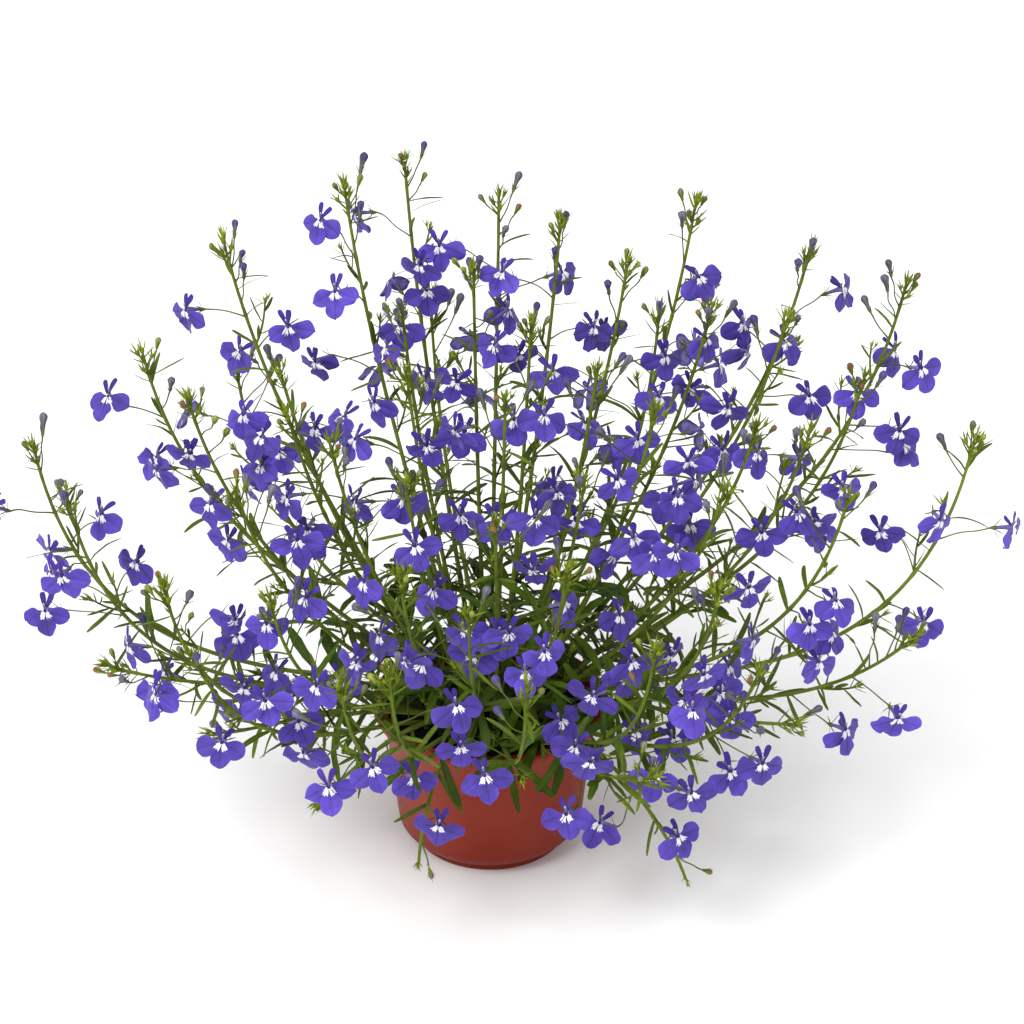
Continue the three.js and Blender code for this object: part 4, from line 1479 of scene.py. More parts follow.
    def grow_shoot(self, pose: ShootPose) -> None:
        """Adds a leafy side shoot where its pose says."""
        draw = Draws(pose.seed + 3)
        t = np.linspace(0, 1, 9)
        path = pose.path(len(t))
        ahead, side, over = frames(path, pose.across)
        radii = 0.62 - 0.22 * t
        tint = blend(Green.STALK, Green.YOUNG_STEM, draw(0.3, 1.0))
        self.skin.loft(round_rings(path, radii, 7, pose.across), tint)
        turn = draw(0, 2 * math.pi)
        length = gap(pose.joint, pose.end)
        leaves = max(2, int(length / 5))
        for n in range(leaves):
            turn += math.radians(TURN)
            where = 1 + int(n * 7 / leaves)
            out = swung(side[where], over[where], turn)
            lean = swung(ahead[where], out, math.radians(draw(35, 62)))
            size = draw(7, 12)
            steps = np.linspace(0, 1, 7)[:, None]
            droop = steps ** 2 * (ahead[where] * 0.2 + np.array([0, 0, draw(-0.22, 0.1)])) * size
            leaf_tint = blend(Green.YOUNG_LEAF, Green.OLD_LEAF, draw(0.0, 0.7))
            self.grow_blade(path[where] + steps * lean * size + droop, np.cross(lean, ahead[where]),
                            draw(1.1, 1.9), toned(leaf_tint, draw(0.8, 1.25)), draw, 7)
        self.grow_tip(path[-1], ahead[-1], draw, 2 if length > 14 else 1, draw(0.7, 0.95))

    def build(self, material: Material) -> Object:
        """Builds the whole green piece.

        Args:
            material: its finish.

        Returns:
            The piece.
        """
        self.grow_stem()
        for pose in self.stem.poses(LeafPose):
            self.grow_leaf(pose)
        for pose in self.stem.poses(BudPose):
            self.grow_bud(pose)
        for pose in self.stem.poses(ShootPose):
            self.grow_shoot(pose)
        for order, pose in enumerate(self.stem.poses(BloomPose)):
            self.grow_flower_base(pose, order)
        section = self.stem.line.along(0.0)
        axis = np.array(section.ahead)
        draw = Draws(Series.TIP + self.stem.order)
        heads, size = (2, 0.65) if self.stem.hangs else (self.tip_heads, draw(1.05, 1.4))
        self.grow_tip(np.array(section.at) + axis, axis, draw, heads, size)
        return self.skin.piece(f"leafy_stem_{self.stem.order + 1:02d}", material)


# ---- the blooms of a stem
class Lobe(Enum):
    """The kinds of petal lobes."""

    LOWER = "lower"
    UPPER = "upper"


@dataclass(frozen=True)
class LobeShape:
    """The shape of one petal lobe, in millimetres and radians."""

    kind: Lobe
    turn: float
    length: float
    half_width: float
    bend: float
    cup: float
    reflex: float
    crease: float
    wave: float
    skew: float
    notch: float = 0.0
    point: float = 0.0


# The place of a bloom's parts that aren't lobes.
OFF_FACE = np.array([0.0, 0.0, -1.0])


@dataclass
class Blooms:
    """The open flowers of one stem."""

    stem: Stem
    rows: int = 13
    upper_rows: int = 9
    thickness: float = 0.26
    columns: tuple[float, ...] = (-1.0, -0.8, -0.48, -0.16, 0.0, 0.16, 0.48, 0.8, 1.0)
    upper_columns: tuple[float, ...] = (-1.0, -0.5, 0.0, 0.5, 1.0)
    start: float = 0.9
    skin: Surface = field(default_factory=Surface)

    @staticmethod
    def outline(shape: LobeShape, x: Array) -> Array:
        """Returns the half width of a lobe at distances x from the throat."""
        share = x / shape.length
        if shape.kind is Lobe.UPPER:
            blade = np.clip(share, 0.05, 1) ** 1.3 * np.clip(1.0 - share, 0.0, 1) ** 0.42
            return 0.3 + (shape.half_width - 0.3) * blade / 0.47
        widest = 0.61
        wedge = math.tan(math.radians(32)) * x
        rise = np.sin(0.5 * math.pi * np.clip(share / widest, 0, 1)) ** 1.3
        fall = np.clip(1 - (np.clip(share - widest, 0, 1) / (1 - widest)) ** 2.0, 0, 1) ** 0.56
        blade = shape.half_width * rise * fall
        near = smooth_step(0.16, 0.42, share)
        return np.maximum(wedge * (1 - near) + blade * near, 0.22)

    def grow_lobe(self, pose: BloomPose, shape: LobeShape, tint: Array, draw: Draws) -> None:
        """Adds one lobe of a bloom's face.

        Args:
            pose: the bloom.
            shape: the lobe.
            tint: the tint of its upper side.
            draw: the bloom's series.
        """
        upper = shape.kind is Lobe.UPPER
        columns = np.array(self.upper_columns if upper else self.columns)
        rows = self.upper_rows if upper else self.rows
        spread = np.linspace(0, 1, rows)[:, None]
        spaced = 1 - (1 - spread) ** 2
        x = self.start + (shape.length - self.start) * spaced
        half = self.outline(shape, x)
        share = x / shape.length
        tip = smooth_step(0.72, 1.0, share)
        edge = np.abs(columns)
        uneven = np.sin(share * 9.0 + np.sign(columns) * 2.0 + shape.cup * 40)
        uneven = 1 + shape.wave * 0.11 * uneven
        y = half * columns * uneven
        reach = x - shape.notch * tip * np.exp(-(columns / 0.35) ** 2)
        reach = reach + shape.point * tip * (1 - edge)
        y = y + shape.skew * share ** 2 * shape.half_width
        depth = -0.15 - shape.reflex * share ** 2.4
        depth = depth - shape.cup * columns ** 2 * half * share
        groove = np.exp(-(columns / 0.2) ** 2)
        depth = depth - shape.crease * groove * np.sin(math.pi * share)
        ripple = np.sin(share * 7.0 + columns * 2.4 + shape.skew * 30)
        finer = np.sin(share * 15.0 - columns * 4.0 + shape.cup * 50)
        ripple = ripple + 0.5 * finer
        depth = depth + shape.wave * ripple * edge ** 1.5 * share
        if not upper:
            bump = np.exp(-((x - 2.3) / 1.1) ** 2) * (0.35 + 0.5 * edge ** 0.7)
            depth = depth + 0.75 * bump
        reach, depth = rotated(reach, depth, -shape.bend)
        face_x, face_y = rotated(reach, y, shape.turn)
        thick = self.thickness * (1 - columns ** 4) * (1 - 0.9 * share ** 6)
        size = len(columns)
        loop = [*range(size), *range(size - 2, 0, -1)]
        under = np.arange(len(loop)) >= size
        z = depth[:, loop] + np.where(under, -0.5, 0.5) * thick[:, loop]
        rings = (
            np.array(pose.throat)
            + face_x[:, loop, None] * np.array(pose.right)
            + face_y[:, loop, None] * np.array(pose.up)
            + z[..., None] * np.array(pose.normal)
        )
        flat_x, flat_y = rotated(x, y, shape.turn)
        across = columns[loop] + np.zeros((rows, 1))
        places = np.stack([flat_x[:, loop], flat_y[:, loop], across], -1)
        # Painted shade and light: each lobe is darker towards the throat, where the lobes meet, and
        # lighter towards its tip; one side of it is also made a little lighter than the other at
        # random.
        shade = 1 + 0.34 * (share - 0.6) + 0.06 * (draw(0, 1) - 0.5)
        shade = shade + draw(-0.12, 0.12) * across
        front = np.dstack([tint[:3] * shade[..., None], np.full(shade.shape, tint[3])])
        rim = np.maximum(smooth_step(0.8, 0.92, share), np.abs(across) > 0.7)
        back = blend(Violet.UNDERSIDE, front, rim)
        self.skin.loft(rings, np.where(under[:, None], back, front), places)

    def grow_tube(self, pose: BloomPose, draw: Draws) -> None:
        """Adds the tube behind the face, and a dark plug in its mouth, partly the throat's own
        colour and partly painted shade.
        """
        normal = np.array(pose.normal)
        start = np.array(pose.end)
        end = np.array(pose.throat) - normal * 0.75
        share = np.linspace(0, 1, 7)
        middle = (start + end) / 2 + np.array(pose.up) * 0.35
        s = share[:, None]
        path = start * (1 - s) ** 2 + middle * 2 * s * (1 - s) + end * s ** 2
        radii = 0.72 + 0.28 * share + 0.62 * share ** 4
        rings = round_rings(path, radii, 10, pose.right)
        stripes = np.where(np.arange(10) % 2 == 0, 0.78, 1.12)[None, :, None]
        tone = toned(Violet.TUBE, draw(0.8, 1.15))
        tints = tone * stripes * (0.82 + 0.25 * share)[:, None, None]
        self.skin.loft(rings, tints, OFF_FACE)
        # A dark plug closes the tube's mouth: painted shade where the tube runs in.
        hollow = end + np.outer((-0.2, 0.12, 0.3), normal)
        rings = round_rings(hollow, np.array([1.1, 1.05, 0.5]), 10, pose.right)
        self.skin.loft(rings, Violet.SHADED_THROAT, OFF_FACE)

    def grow_anthers(self, pose: BloomPose) -> None:
        """Adds the tube of anthers that bends over the mouth between the upper lobes."""
        share = np.linspace(0, 1, 7)
        rise = 3.5 * np.sin(share * 1.25)
        out = -1.0 + 2.3 * share ** 1.6
        path = np.array(pose.throat) + np.outer(rise, pose.up) + np.outer(out, pose.normal)
        radii = np.array([0.42, 0.5, 0.6, 0.68, 0.66, 0.52, 0.2])
        tints = blend(Violet.ANTHER, Violet.ANTHER_TIP, smooth_step(0.75, 1.0, share))
        self.skin.loft(round_rings(path, radii, 7, pose.right), tints[:, None], OFF_FACE)

    def grow_bloom(self, pose: BloomPose, order: int) -> None:
        """Adds one open bloom, each a little different."""
        draw = Draws(Series.FACE + self.stem.order * 20 + order)
        tone = draw(0.82, 1.2)
        size = draw(0.94, 1.02)
        droop = draw(-0.1, 0.5)
        droop += 0.38 * float(smooth_step(0.33, 0.4, droop))
        notched = draw.chance(0.22)
        pointed = draw.chance(0.45)
        for side in (-1, 0, 1):
            turn = math.radians(-90 + side * (BLOOM.side_turn + draw(-7, 5)))
            shape = LobeShape(
                kind=Lobe.LOWER,
                turn=turn + math.radians(draw(-3, 3)),
                length=BLOOM.lobe * size * draw(0.94, 1.02),
                half_width=draw(3.95, 5.0) * size,
                bend=droop * draw(0.3, 1.0) if side else draw(-0.1, 0.3),
                cup=draw(-0.25, 0.5),
                reflex=draw(-0.3, 2.6),
                crease=draw(0.25, 0.7),
                wave=draw(0.3, 1.0),
                notch=draw(0.5, 1.0) if notched else 0.0,
                point=draw(0.3, 0.8) if pointed else 0.0,
                skew=side * draw(-0.05, 0.16),
            )
            self.grow_lobe(pose, shape, toned(Violet.LOWER, tone * draw(0.95, 1.05)), draw)
        for side in (-1, 1):
            shape = LobeShape(
                kind=Lobe.UPPER,
                turn=math.radians(90 + side * (BLOOM.upper_turn + draw(-9, 12))),
                length=BLOOM.upper * draw(0.82, 0.99),
                half_width=draw(1.3, 1.75),
                bend=draw(-0.25, 0.45),
                cup=draw(-0.3, 0.5),
                reflex=draw(-0.3, 1.4),
                crease=draw(0.05, 0.2),
                wave=draw(0.0, 0.25),
                skew=side * draw(-0.2, 0.3),
            )
            self.grow_lobe(pose, shape, toned(Violet.UPPER, tone), draw)
        self.grow_tube(pose, draw)
        self.grow_anthers(pose)

    def build(self, material: Material) -> Object:
        """Builds the stem's open flowers as one piece.

        Args:
            material: the petals' finish.

        Returns:
            The piece.
        """
        for order, pose in enumerate(self.stem.poses(BloomPose)):
            self.grow_bloom(pose, order)
        return self.skin.piece(f"blooms_{self.stem.order + 1:02d}", material)


# ---- node trees
class Tree:
    """A material's node tree, built up by short calls."""

    def __init__(self, name: str) -> None:
        """Starts a material with a Principled shader and nothing else."""
        self.material = bpy.data.materials.new(name)
        self.material.use_nodes = True
        self.nodes = self.material.node_tree.nodes
        self.links = self.material.node_tree.links
        self.nodes.clear()
        self.out = self.nodes.new("ShaderNodeOutputMaterial")
        self.shader = self.nodes.new("ShaderNodeBsdfPrincipled")
        self.links.new(self.shader.outputs["BSDF"], self.out.inputs["Surface"])

    def plug(self, value: Socket | float | Sequence[float], socket: Socket) -> None:
        """Links a socket to another, or sets a plain value on it."""
        if isinstance(value, Socket):
            self.links.new(value, socket)
        else:
            socket.default_value = value

    def set(self, **values: float | Socket | Sequence[float]) -> None:
        """Sets inputs of the Principled shader, with spaces in names written as underscores."""
        for name, value in values.items():
            self.plug(value, self.shader.inputs[name.replace("_", " ")])

    def attribute(self, name: str) -> Node:
        """Returns a node that reads an attribute of the mesh."""
        node = self.nodes.new("ShaderNodeAttribute")
        node.attribute_name = name
        return node

    def place(self) -> Socket:
        """Returns the place in metres."""
        return self.nodes.new("ShaderNodeTexCoord").outputs["Object"]

    def math(self, operation: str, *values: Socket | float) -> Socket:
        """Returns the result of a Math node."""
        node = self.nodes.new("ShaderNodeMath")
        node.operation = operation
        for socket, value in zip(node.inputs, values):
            self.plug(value, socket)
        return node.outputs[0]

    def plus(self, a: Socket, b: Socket) -> Socket:
        """Returns a + b."""
        return self.math("ADD", a, b)

    def minus(self, a: Socket, b: Socket | float) -> Socket:
        """Returns a - b."""
        return self.math("SUBTRACT", a, b)

    def times(self, a: Socket, b: Socket | float) -> Socket:
        """Returns a times b."""
        return self.math("MULTIPLY", a, b)

    def split(self, vector: Socket) -> list[Socket]:
        """Returns the three numbers of a vector."""
        node = self.nodes.new("ShaderNodeSeparateXYZ")
        self.links.new(vector, node.inputs[0])
        return list(node.outputs)

    def ramp(
        self, value: Socket, low: float, high: float, start: float = 0.0, end: float = 1.0
    ) -> Socket:
        """Returns a smooth step of a value from start at low to end at high."""
        node = self.nodes.new("ShaderNodeMapRange")
        node.interpolation_type = "SMOOTHSTEP"
        self.links.new(value, node.inputs["Value"])
        names = ("From Min", "From Max", "To Min", "To Max")
        for name, number in zip(names, (low, high, start, end)):
            node.inputs[name].default_value = number
        return node.outputs["Result"]

    def noise(self, scale: float, detail: float) -> Socket:
        """Returns a noise value of a scale in cells for each metre."""
        node = self.nodes.new("ShaderNodeTexNoise")
        node.inputs["Scale"].default_value = scale
        node.inputs["Detail"].default_value = detail
        self.links.new(self.place(), node.inputs["Vector"])
        return node.outputs["Fac"]

    def mix(self, share: Socket | float, a: Socket | Rgba, b: Socket | Rgba) -> Socket:
        """Returns the colour between a and b."""
        node = self.nodes.new("ShaderNodeMix")
        node.data_type = "RGBA"
        self.plug(share, node.inputs["Factor"])
        self.plug(a, node.inputs[6])
        self.plug(b, node.inputs[7])
        return node.outputs[2]

    def shade(self, colour: Socket, factor: Socket) -> Socket:
        """Returns a colour times a number."""
        node = self.nodes.new("ShaderNodeVectorMath")
        node.operation = "SCALE"
        self.links.new(colour, node.inputs[0])
        self.links.new(factor, node.inputs["Scale"])
        return node.outputs[0]

    def bump(self, height: Socket, distance: float, strength: float) -> None:
        """Gives the surface a relief."""
        node = self.nodes.new("ShaderNodeBump")
        node.inputs["Distance"].default_value = distance
        node.inputs["Strength"].default_value = strength
        self.links.new(height, node.inputs["Height"])
        self.links.new(node.outputs["Normal"], self.shader.inputs["Normal"])

    def let_through(self, share: float, colour: Socket) -> None:
        """Lets a share of the light through a thin surface."""
        glow = self.nodes.new("ShaderNodeBsdfTranslucent")
        self.links.new(colour, glow.inputs["Color"])
        both = self.nodes.new("ShaderNodeMixShader")
        both.inputs["Fac"].default_value = share
        self.links.new(self.shader.outputs["BSDF"], both.inputs[1])
        self.links.new(glow.outputs["BSDF"], both.inputs[2])
        self.links.new(both.outputs["Shader"], self.out.inputs["Surface"])


@dataclass(frozen=True)
class PetalFinish:
    """Velvety violet petals with a white, dark-veined eye, painted shade along each lobe's middle
    crease and a painted highlight along its edges.
    """

    white: Rgba = (0.93, 0.92, 0.97, 1.0)
    vein: Rgba = (0.045, 0.015, 0.2, 1.0)
    eye: float = 1.3
    patch: float = 2.15
    fingers: float = 0.9
    roughness: float = 0.55

    def eye_mask(self, tree: Tree, x: Socket, y: Socket, grain: Socket) -> Socket:
        """Returns where the white eye shows: two patches that end in fingers.

        Args:
            tree: the node tree.
            x: millimetres to the right of the throat.
            y: millimetres above the throat.
            grain: a noise value that makes the edge uneven.

        Returns:
            1 in the eye and 0 outside it.
        """
        down = tree.times(y, -1.0)
        turn = tree.math("ABSOLUTE", tree.math("ARCTAN2", x, down))
        square = tree.plus(tree.times(x, x), tree.times(y, y))
        reach = tree.math("SQRT", square)
        wave = tree.math("COSINE", tree.math("MULTIPLY_ADD", turn, 21.0, -11.0))
        tips = tree.times(tree.math("MULTIPLY_ADD", wave, 0.5, 0.5), self.fingers)
        aside = tree.math("ABSOLUTE", tree.minus(turn, 0.54))
        patch = tree.ramp(aside, 0.22, 0.62, self.patch, 0.0)
        limit = tree.plus(tree.plus(patch, self.eye), tips)
        limit = tree.plus(limit, tree.times(tree.minus(grain, 0.5), 3.4))
        limit = tree.minus(limit, tree.ramp(turn, 1.1, 1.9, 0.0, 2.4))
        inside = tree.ramp(tree.minus(limit, reach), -0.12, 0.2)
        middle = tree.ramp(tree.math("ABSOLUTE", x), 0.1, 0.3)
        parted = tree.math("MAXIMUM", middle, tree.ramp(reach, 1.0, 1.5, 1.0, 0.0))
        return tree.times(inside, parted)

    def material(self) -> Material:
        """Returns the petals' material."""
        tree = Tree("petal")
        tint = tree.attribute("tint")
        x, y, across = tree.split(tree.attribute("place").outputs["Vector"])
        grain = tree.noise(700.0, 2.0)
        broad = tree.noise(170.0, 3.0)
        turn = tree.math("ARCTAN2", x, y)
        ribs = tree.math("SINE", tree.math("MULTIPLY_ADD", turn, 44.0, tree.times(broad, 5.0)))
        off = tree.math("ABSOLUTE", across)
        # Painted shade along each lobe's middle crease and a painted highlight along its edges,
        # added to the veins and scaled by the mask.
        middle = tree.ramp(off, 0.0, 0.22, 0.22, 0.0)
        fold = tree.minus(middle, tree.ramp(off, 0.8, 1.0, 0.0, 0.25))
        veins = tree.plus(tree.ramp(ribs, 0.45, 1.0, 0.0, 0.08), fold)
        veins = tree.times(veins, tint.outputs["Alpha"])
        tone = tree.minus(tree.ramp(broad, 0.3, 0.7, 0.84, 1.14), veins)
        colour = tree.shade(tint.outputs["Color"], tone)
        mask = tree.times(self.eye_mask(tree, x, y, grain), tint.outputs["Alpha"])
        lines = tree.ramp(tree.math("SINE", tree.times(turn, 30.0)), 0.82, 0.97, 0.0, 0.2)
        eye = tree.mix(lines, self.white, self.vein)
        colour = tree.mix(mask, colour, eye)
        tree.set(Base_Color=colour, Roughness=self.roughness)
        tree.set(Specular_IOR_Level=0.25, Sheen_Weight=0.12, Sheen_Roughness=0.45)
        tree.bump(tree.plus(tree.times(ribs, 0.35), grain), 0.00006, 0.6)
        tree.let_through(0.2, colour)
        return tree.material


@dataclass(frozen=True)
class GreenFinish:
    """Satin green stems and leaves, with a pale midrib and fine side veins on the leaves."""

    roughness: float = 0.55

    def material(self) -> Material:
        """Returns the material of all green parts."""
        tree = Tree("green")
        tint = tree.attribute("tint")
        along, across, width = tree.split(tree.attribute("place").outputs["Vector"])
        leaf = tint.outputs["Alpha"]
        broad = tree.noise(120.0, 3.0)
        fine = tree.noise(1400.0, 2.0)
        off = tree.math("ABSOLUTE", across)
        rib = tree.ramp(off, 0.07, 0.26, 1.0, 0.0)
        rib = tree.times(rib, tree.ramp(width, 1.2, 3.0, 0.12, 0.42))
        rows = tree.times(along, tree.math("MULTIPLY_ADD", width, 4.0, 26.0))
        slant = tree.math("MULTIPLY_ADD", off, -2.6, rows)
        side_veins = tree.ramp(tree.math("SINE", slant), 0.6, 1.0, 0.0, 0.14)
        veins = tree.times(tree.math("MAXIMUM", rib, side_veins), leaf)
        tone = tree.plus(tree.ramp(broad, 0.28, 0.72, 0.8, 1.16), veins)
        tone = tree.plus(tone, tree.ramp(fine, 0.35, 0.65, -0.06, 0.06))
        colour = tree.shade(tint.outputs["Color"], tone)
        tree.set(Base_Color=colour, Specular_IOR_Level=0.16)
        tree.set(Roughness=tree.ramp(fine, 0.3, 0.7, self.roughness - 0.08, self.roughness + 0.1))
        tree.bump(tree.plus(tree.times(veins, -1.2), fine), 0.00008, 0.7)
        tree.let_through(0.12, colour)
        return tree.material


@dataclass(frozen=True)
class PotFinish:
    """Terracotta-coloured plastic with paler patches at random, fine turning lines and scuffs; a
    painted highlight lightens its -X side and painted shade darkens it towards the foot.
    """

    colour: Rgba = tuple(linear(126, 37, 15, 1.0))
    # A paler colour, used for random pale patches and as a painted highlight on the -X side.
    pale_and_lit_side: Rgba = tuple(linear(152, 68, 56, 1.0))
    # Painted shade: the darker colour that the pot takes towards its foot.
    foot: Rgba = tuple(linear(104, 22, 6, 1.0))
    rim: Rgba = tuple(linear(150, 44, 26, 1.0))
    inside: Rgba = tuple(linear(156, 34, 6, 1.0))
    dust: Rgba = tuple(linear(70, 44, 34, 1.0))

    def material(self) -> Material:
        """Returns the pot's material."""
        tree = Tree("pot_plastic")
        x, y, z = tree.split(tree.place())
        broad = tree.noise(24.0, 4.0)
        fine = tree.noise(700.0, 3.0)
        specks = tree.noise(260.0, 2.0)
        pale_patches_and_side_light = tree.ramp(broad, 0.35, 0.75, 0.0, 0.3)
        # Painted highlight: the -X side is lightened towards the paler colour, on top of the random
        # pale patches.
        pale_patches_and_side_light = tree.plus(pale_patches_and_side_light, tree.ramp(x, -0.048, 0.006, 0.85, 0.0))
        base = tree.mix(pale_patches_and_side_light, self.colour, self.pale_and_lit_side)
        # Painted shade: darker towards the bottom of the pot.
        base = tree.mix(tree.ramp(z, 0.002, 0.04, 0.5, 0.0), base, self.foot)
        base = tree.mix(tree.ramp(z, 0.064, 0.0685, 0.0, 0.7), base, self.rim)
        normal = tree.nodes.new("ShaderNodeNewGeometry").outputs["Normal"]
        normal_x, normal_y, _ = tree.split(normal)
        outward = tree.plus(tree.times(x, normal_x), tree.times(y, normal_y))
        base = tree.mix(tree.ramp(outward, -0.03, -0.01, 1.0, 0.0), base, self.inside)
        soiled = tree.ramp(specks, 0.62, 0.74)
        soiled = tree.times(soiled, tree.ramp(z, 0.054, 0.067, 0.0, 0.35))
        base = tree.mix(soiled, base, self.dust)
        turned = tree.math("SINE", tree.times(z, 5200.0))
        tree.set(Base_Color=base, Specular_IOR_Level=0.16)
        tree.set(Roughness=tree.ramp(fine, 0.3, 0.7, 0.42, 0.56))
        tree.bump(tree.math("MULTIPLY_ADD", turned, 0.25, fine), 0.00005, 0.6)
        return tree.material


@dataclass(frozen=True)
class CompostFinish:
    """Moist dark peat with paler crumbs."""

    dark: Rgba = tuple(linear(22, 18, 17, 1.0))
    pale: Rgba = tuple(linear(74, 56, 42, 1.0))

    def material(self) -> Material:
        """Returns the compost's material."""
        tree = Tree("compost")
        clumps = tree.noise(420.0, 5.0)
        specks = tree.noise(1500.0, 2.0)
        base = tree.mix(tree.ramp(clumps, 0.5, 0.78, 0.0, 0.75), self.dark, self.pale)
        tree.set(Base_Color=base, Specular_IOR_Level=0.2)
        tree.set(Roughness=tree.ramp(specks, 0.3, 0.7, 0.75, 0.95))
        tree.bump(tree.plus(clumps, tree.times(specks, 0.5)), 0.0008, 0.8)
        return tree.material


@dataclass(frozen=True)
class FloorFinish:
    """A plain pale studio floor."""

    colour: Rgba = (0.92, 0.92, 0.92, 1.0)

    def material(self) -> Material:
        """Returns the floor's material."""
        tree = Tree("studio_floor")
        tree.set(Base_Color=self.colour, Roughness=0.8, Specular_IOR_Level=0.1)
        return tree.material


# ---- pot and compost
@dataclass
class Pot:
    """The plastic grower's pot, turned from one profile."""

    size: PotSize = POT
    sides: int = 120
    drains: int = 6
    drain_circle: float = 19.0
    drain_radius: float = 3.0

    def profile(self) -> list[tuple[float, float]]:
        """Returns the section as radius and height, from below up the outside and down inside."""
        s = self.size
        rim = s.rim_radius
        top = s.height
        points = [
            (0.0, 0.0), (s.pad_radius, 0.0), (s.pad_radius + 1.6, s.recess),
            (s.foot_ring_inner - 1.4, s.recess), (s.foot_ring_inner, 0.0),
            (s.foot_radius - 0.4, 0.0), (s.foot_radius, 0.4), (s.foot_radius + 0.3, s.foot_height),
            (s.foot_radius + 0.9, s.foot_height + 0.5),
            (s.shoulder_radius - 1.9, s.shoulder_height - 1.9),
        ]
        points += self.eased(points[-1], (s.shoulder_radius - 0.3, s.shoulder_height - 0.4),
                             (s.shoulder_radius + 0.2, s.shoulder_height + 1.8), 5)
        wall_top = (s.collar_radius, s.collar_height)
        for t in (0.33, 0.67):
            points.append((s.shoulder_radius + (s.collar_radius - s.shoulder_radius) * t,
                           s.shoulder_height + (s.collar_height - s.shoulder_height) * t))
        points += self.eased(wall_top, (s.collar_radius + 1.4, top - 12), (rim - 2.4, top - 7), 8)
        points += self.eased((rim - 2.4, top - 7), (rim - 0.4, top - 4.6), (rim, top - 2.4), 6)
        points += self.eased((rim, top - 2.4), (rim, top), (rim - 2.0, top), 6)
        points += [(rim - 2.5, top - 0.15), (rim - 2.8, top - 0.55), (rim - 3.2, top - 0.2)]
        points += [(s.mouth_radius + 0.7, top - 0.75), (s.mouth_radius, top - 1.3),
                   (s.mouth_radius - 0.7, top - 3), (s.mouth_radius - s.wall, top - 5)]
        points += [(s.collar_radius - s.wall, s.collar_height),
                   (s.shoulder_radius - s.wall, s.shoulder_height + 0.6),
                   (s.foot_radius - 1, s.floor), (0.0, s.floor)]
        return points

    @staticmethod
    def eased(
        start: tuple[float, float], bend: tuple[float, float], end: tuple[float, float], count: int
    ) -> list[tuple[float, float]]:
        """Returns points of a curve from start past bend to end, without its start."""
        made = []
        for n in range(1, count + 1):
            t = n / count
            s = 1 - t
            made.append(tuple(s * s * a + 2 * s * t * b + t * t * c
                              for a, b, c in zip(start, bend, end)))
        return made

    def build(self, material: Material) -> Object:
        """Builds the pot with its drain holes.

        Args:
            material: the plastic.

        Returns:
            The piece.
        """
        profile = self.profile()
        turns = turns_round(self.sides)
        rings = np.array([[(r * math.cos(a), r * math.sin(a), z) for a in turns]
                          for r, z in profile[1:-1]])
        middles = [[0, 0, profile[0][1]], [0, 0, profile[-1][1]]]
        flat = np.concatenate([rings.reshape(-1, 3), middles])
        last = (len(rings) - 1) * self.sides
        faces = []
        for n in range(self.sides):
            after = (n + 1) % self.sides
            for low in range(0, last, self.sides):
                faces.append([low + n, low + after, low + self.sides + after, low + self.sides + n])
            faces.append([len(flat) - 2, after, n])
            faces.append([len(flat) - 1, last + n, last + after])
        skin = Surface()
        skin.add(flat, faces, np.zeros(4), np.zeros(3))
        pot = skin.piece("grower_pot", material, 40.0)
        self.drill(pot)
        return pot

    def drill(self, pot: Object) -> None:
        """Cuts the drain holes through the floor."""
        drills = Surface()
        for angle in turns_round(self.drains):
            centre = self.drain_circle * np.array([math.cos(angle), math.sin(angle), 0])
            path = centre + [[0, 0, -4.0], [0, 0, 8.0]]
            rings = round_rings(path, np.full(2, self.drain_radius), 24, (1, 0, 0))
            drills.loft(rings, np.zeros(4))
        tool = drills.piece("drain_drill", pot.data.materials[0])
        cut = pot.modifiers.new("drains", "BOOLEAN")
        cut.object = tool
        cut.operation = "DIFFERENCE"
        cut.solver = "EXACT"
        bpy.context.view_layer.update()
        drilled = pot.evaluated_get(bpy.context.evaluated_depsgraph_get())
        mesh = bpy.data.meshes.new_from_object(drilled)
        pot.modifiers.clear()
        pot.data = mesh
        mesh.set_sharp_from_angle(angle=math.radians(40))
        bpy.data.objects.remove(tool)


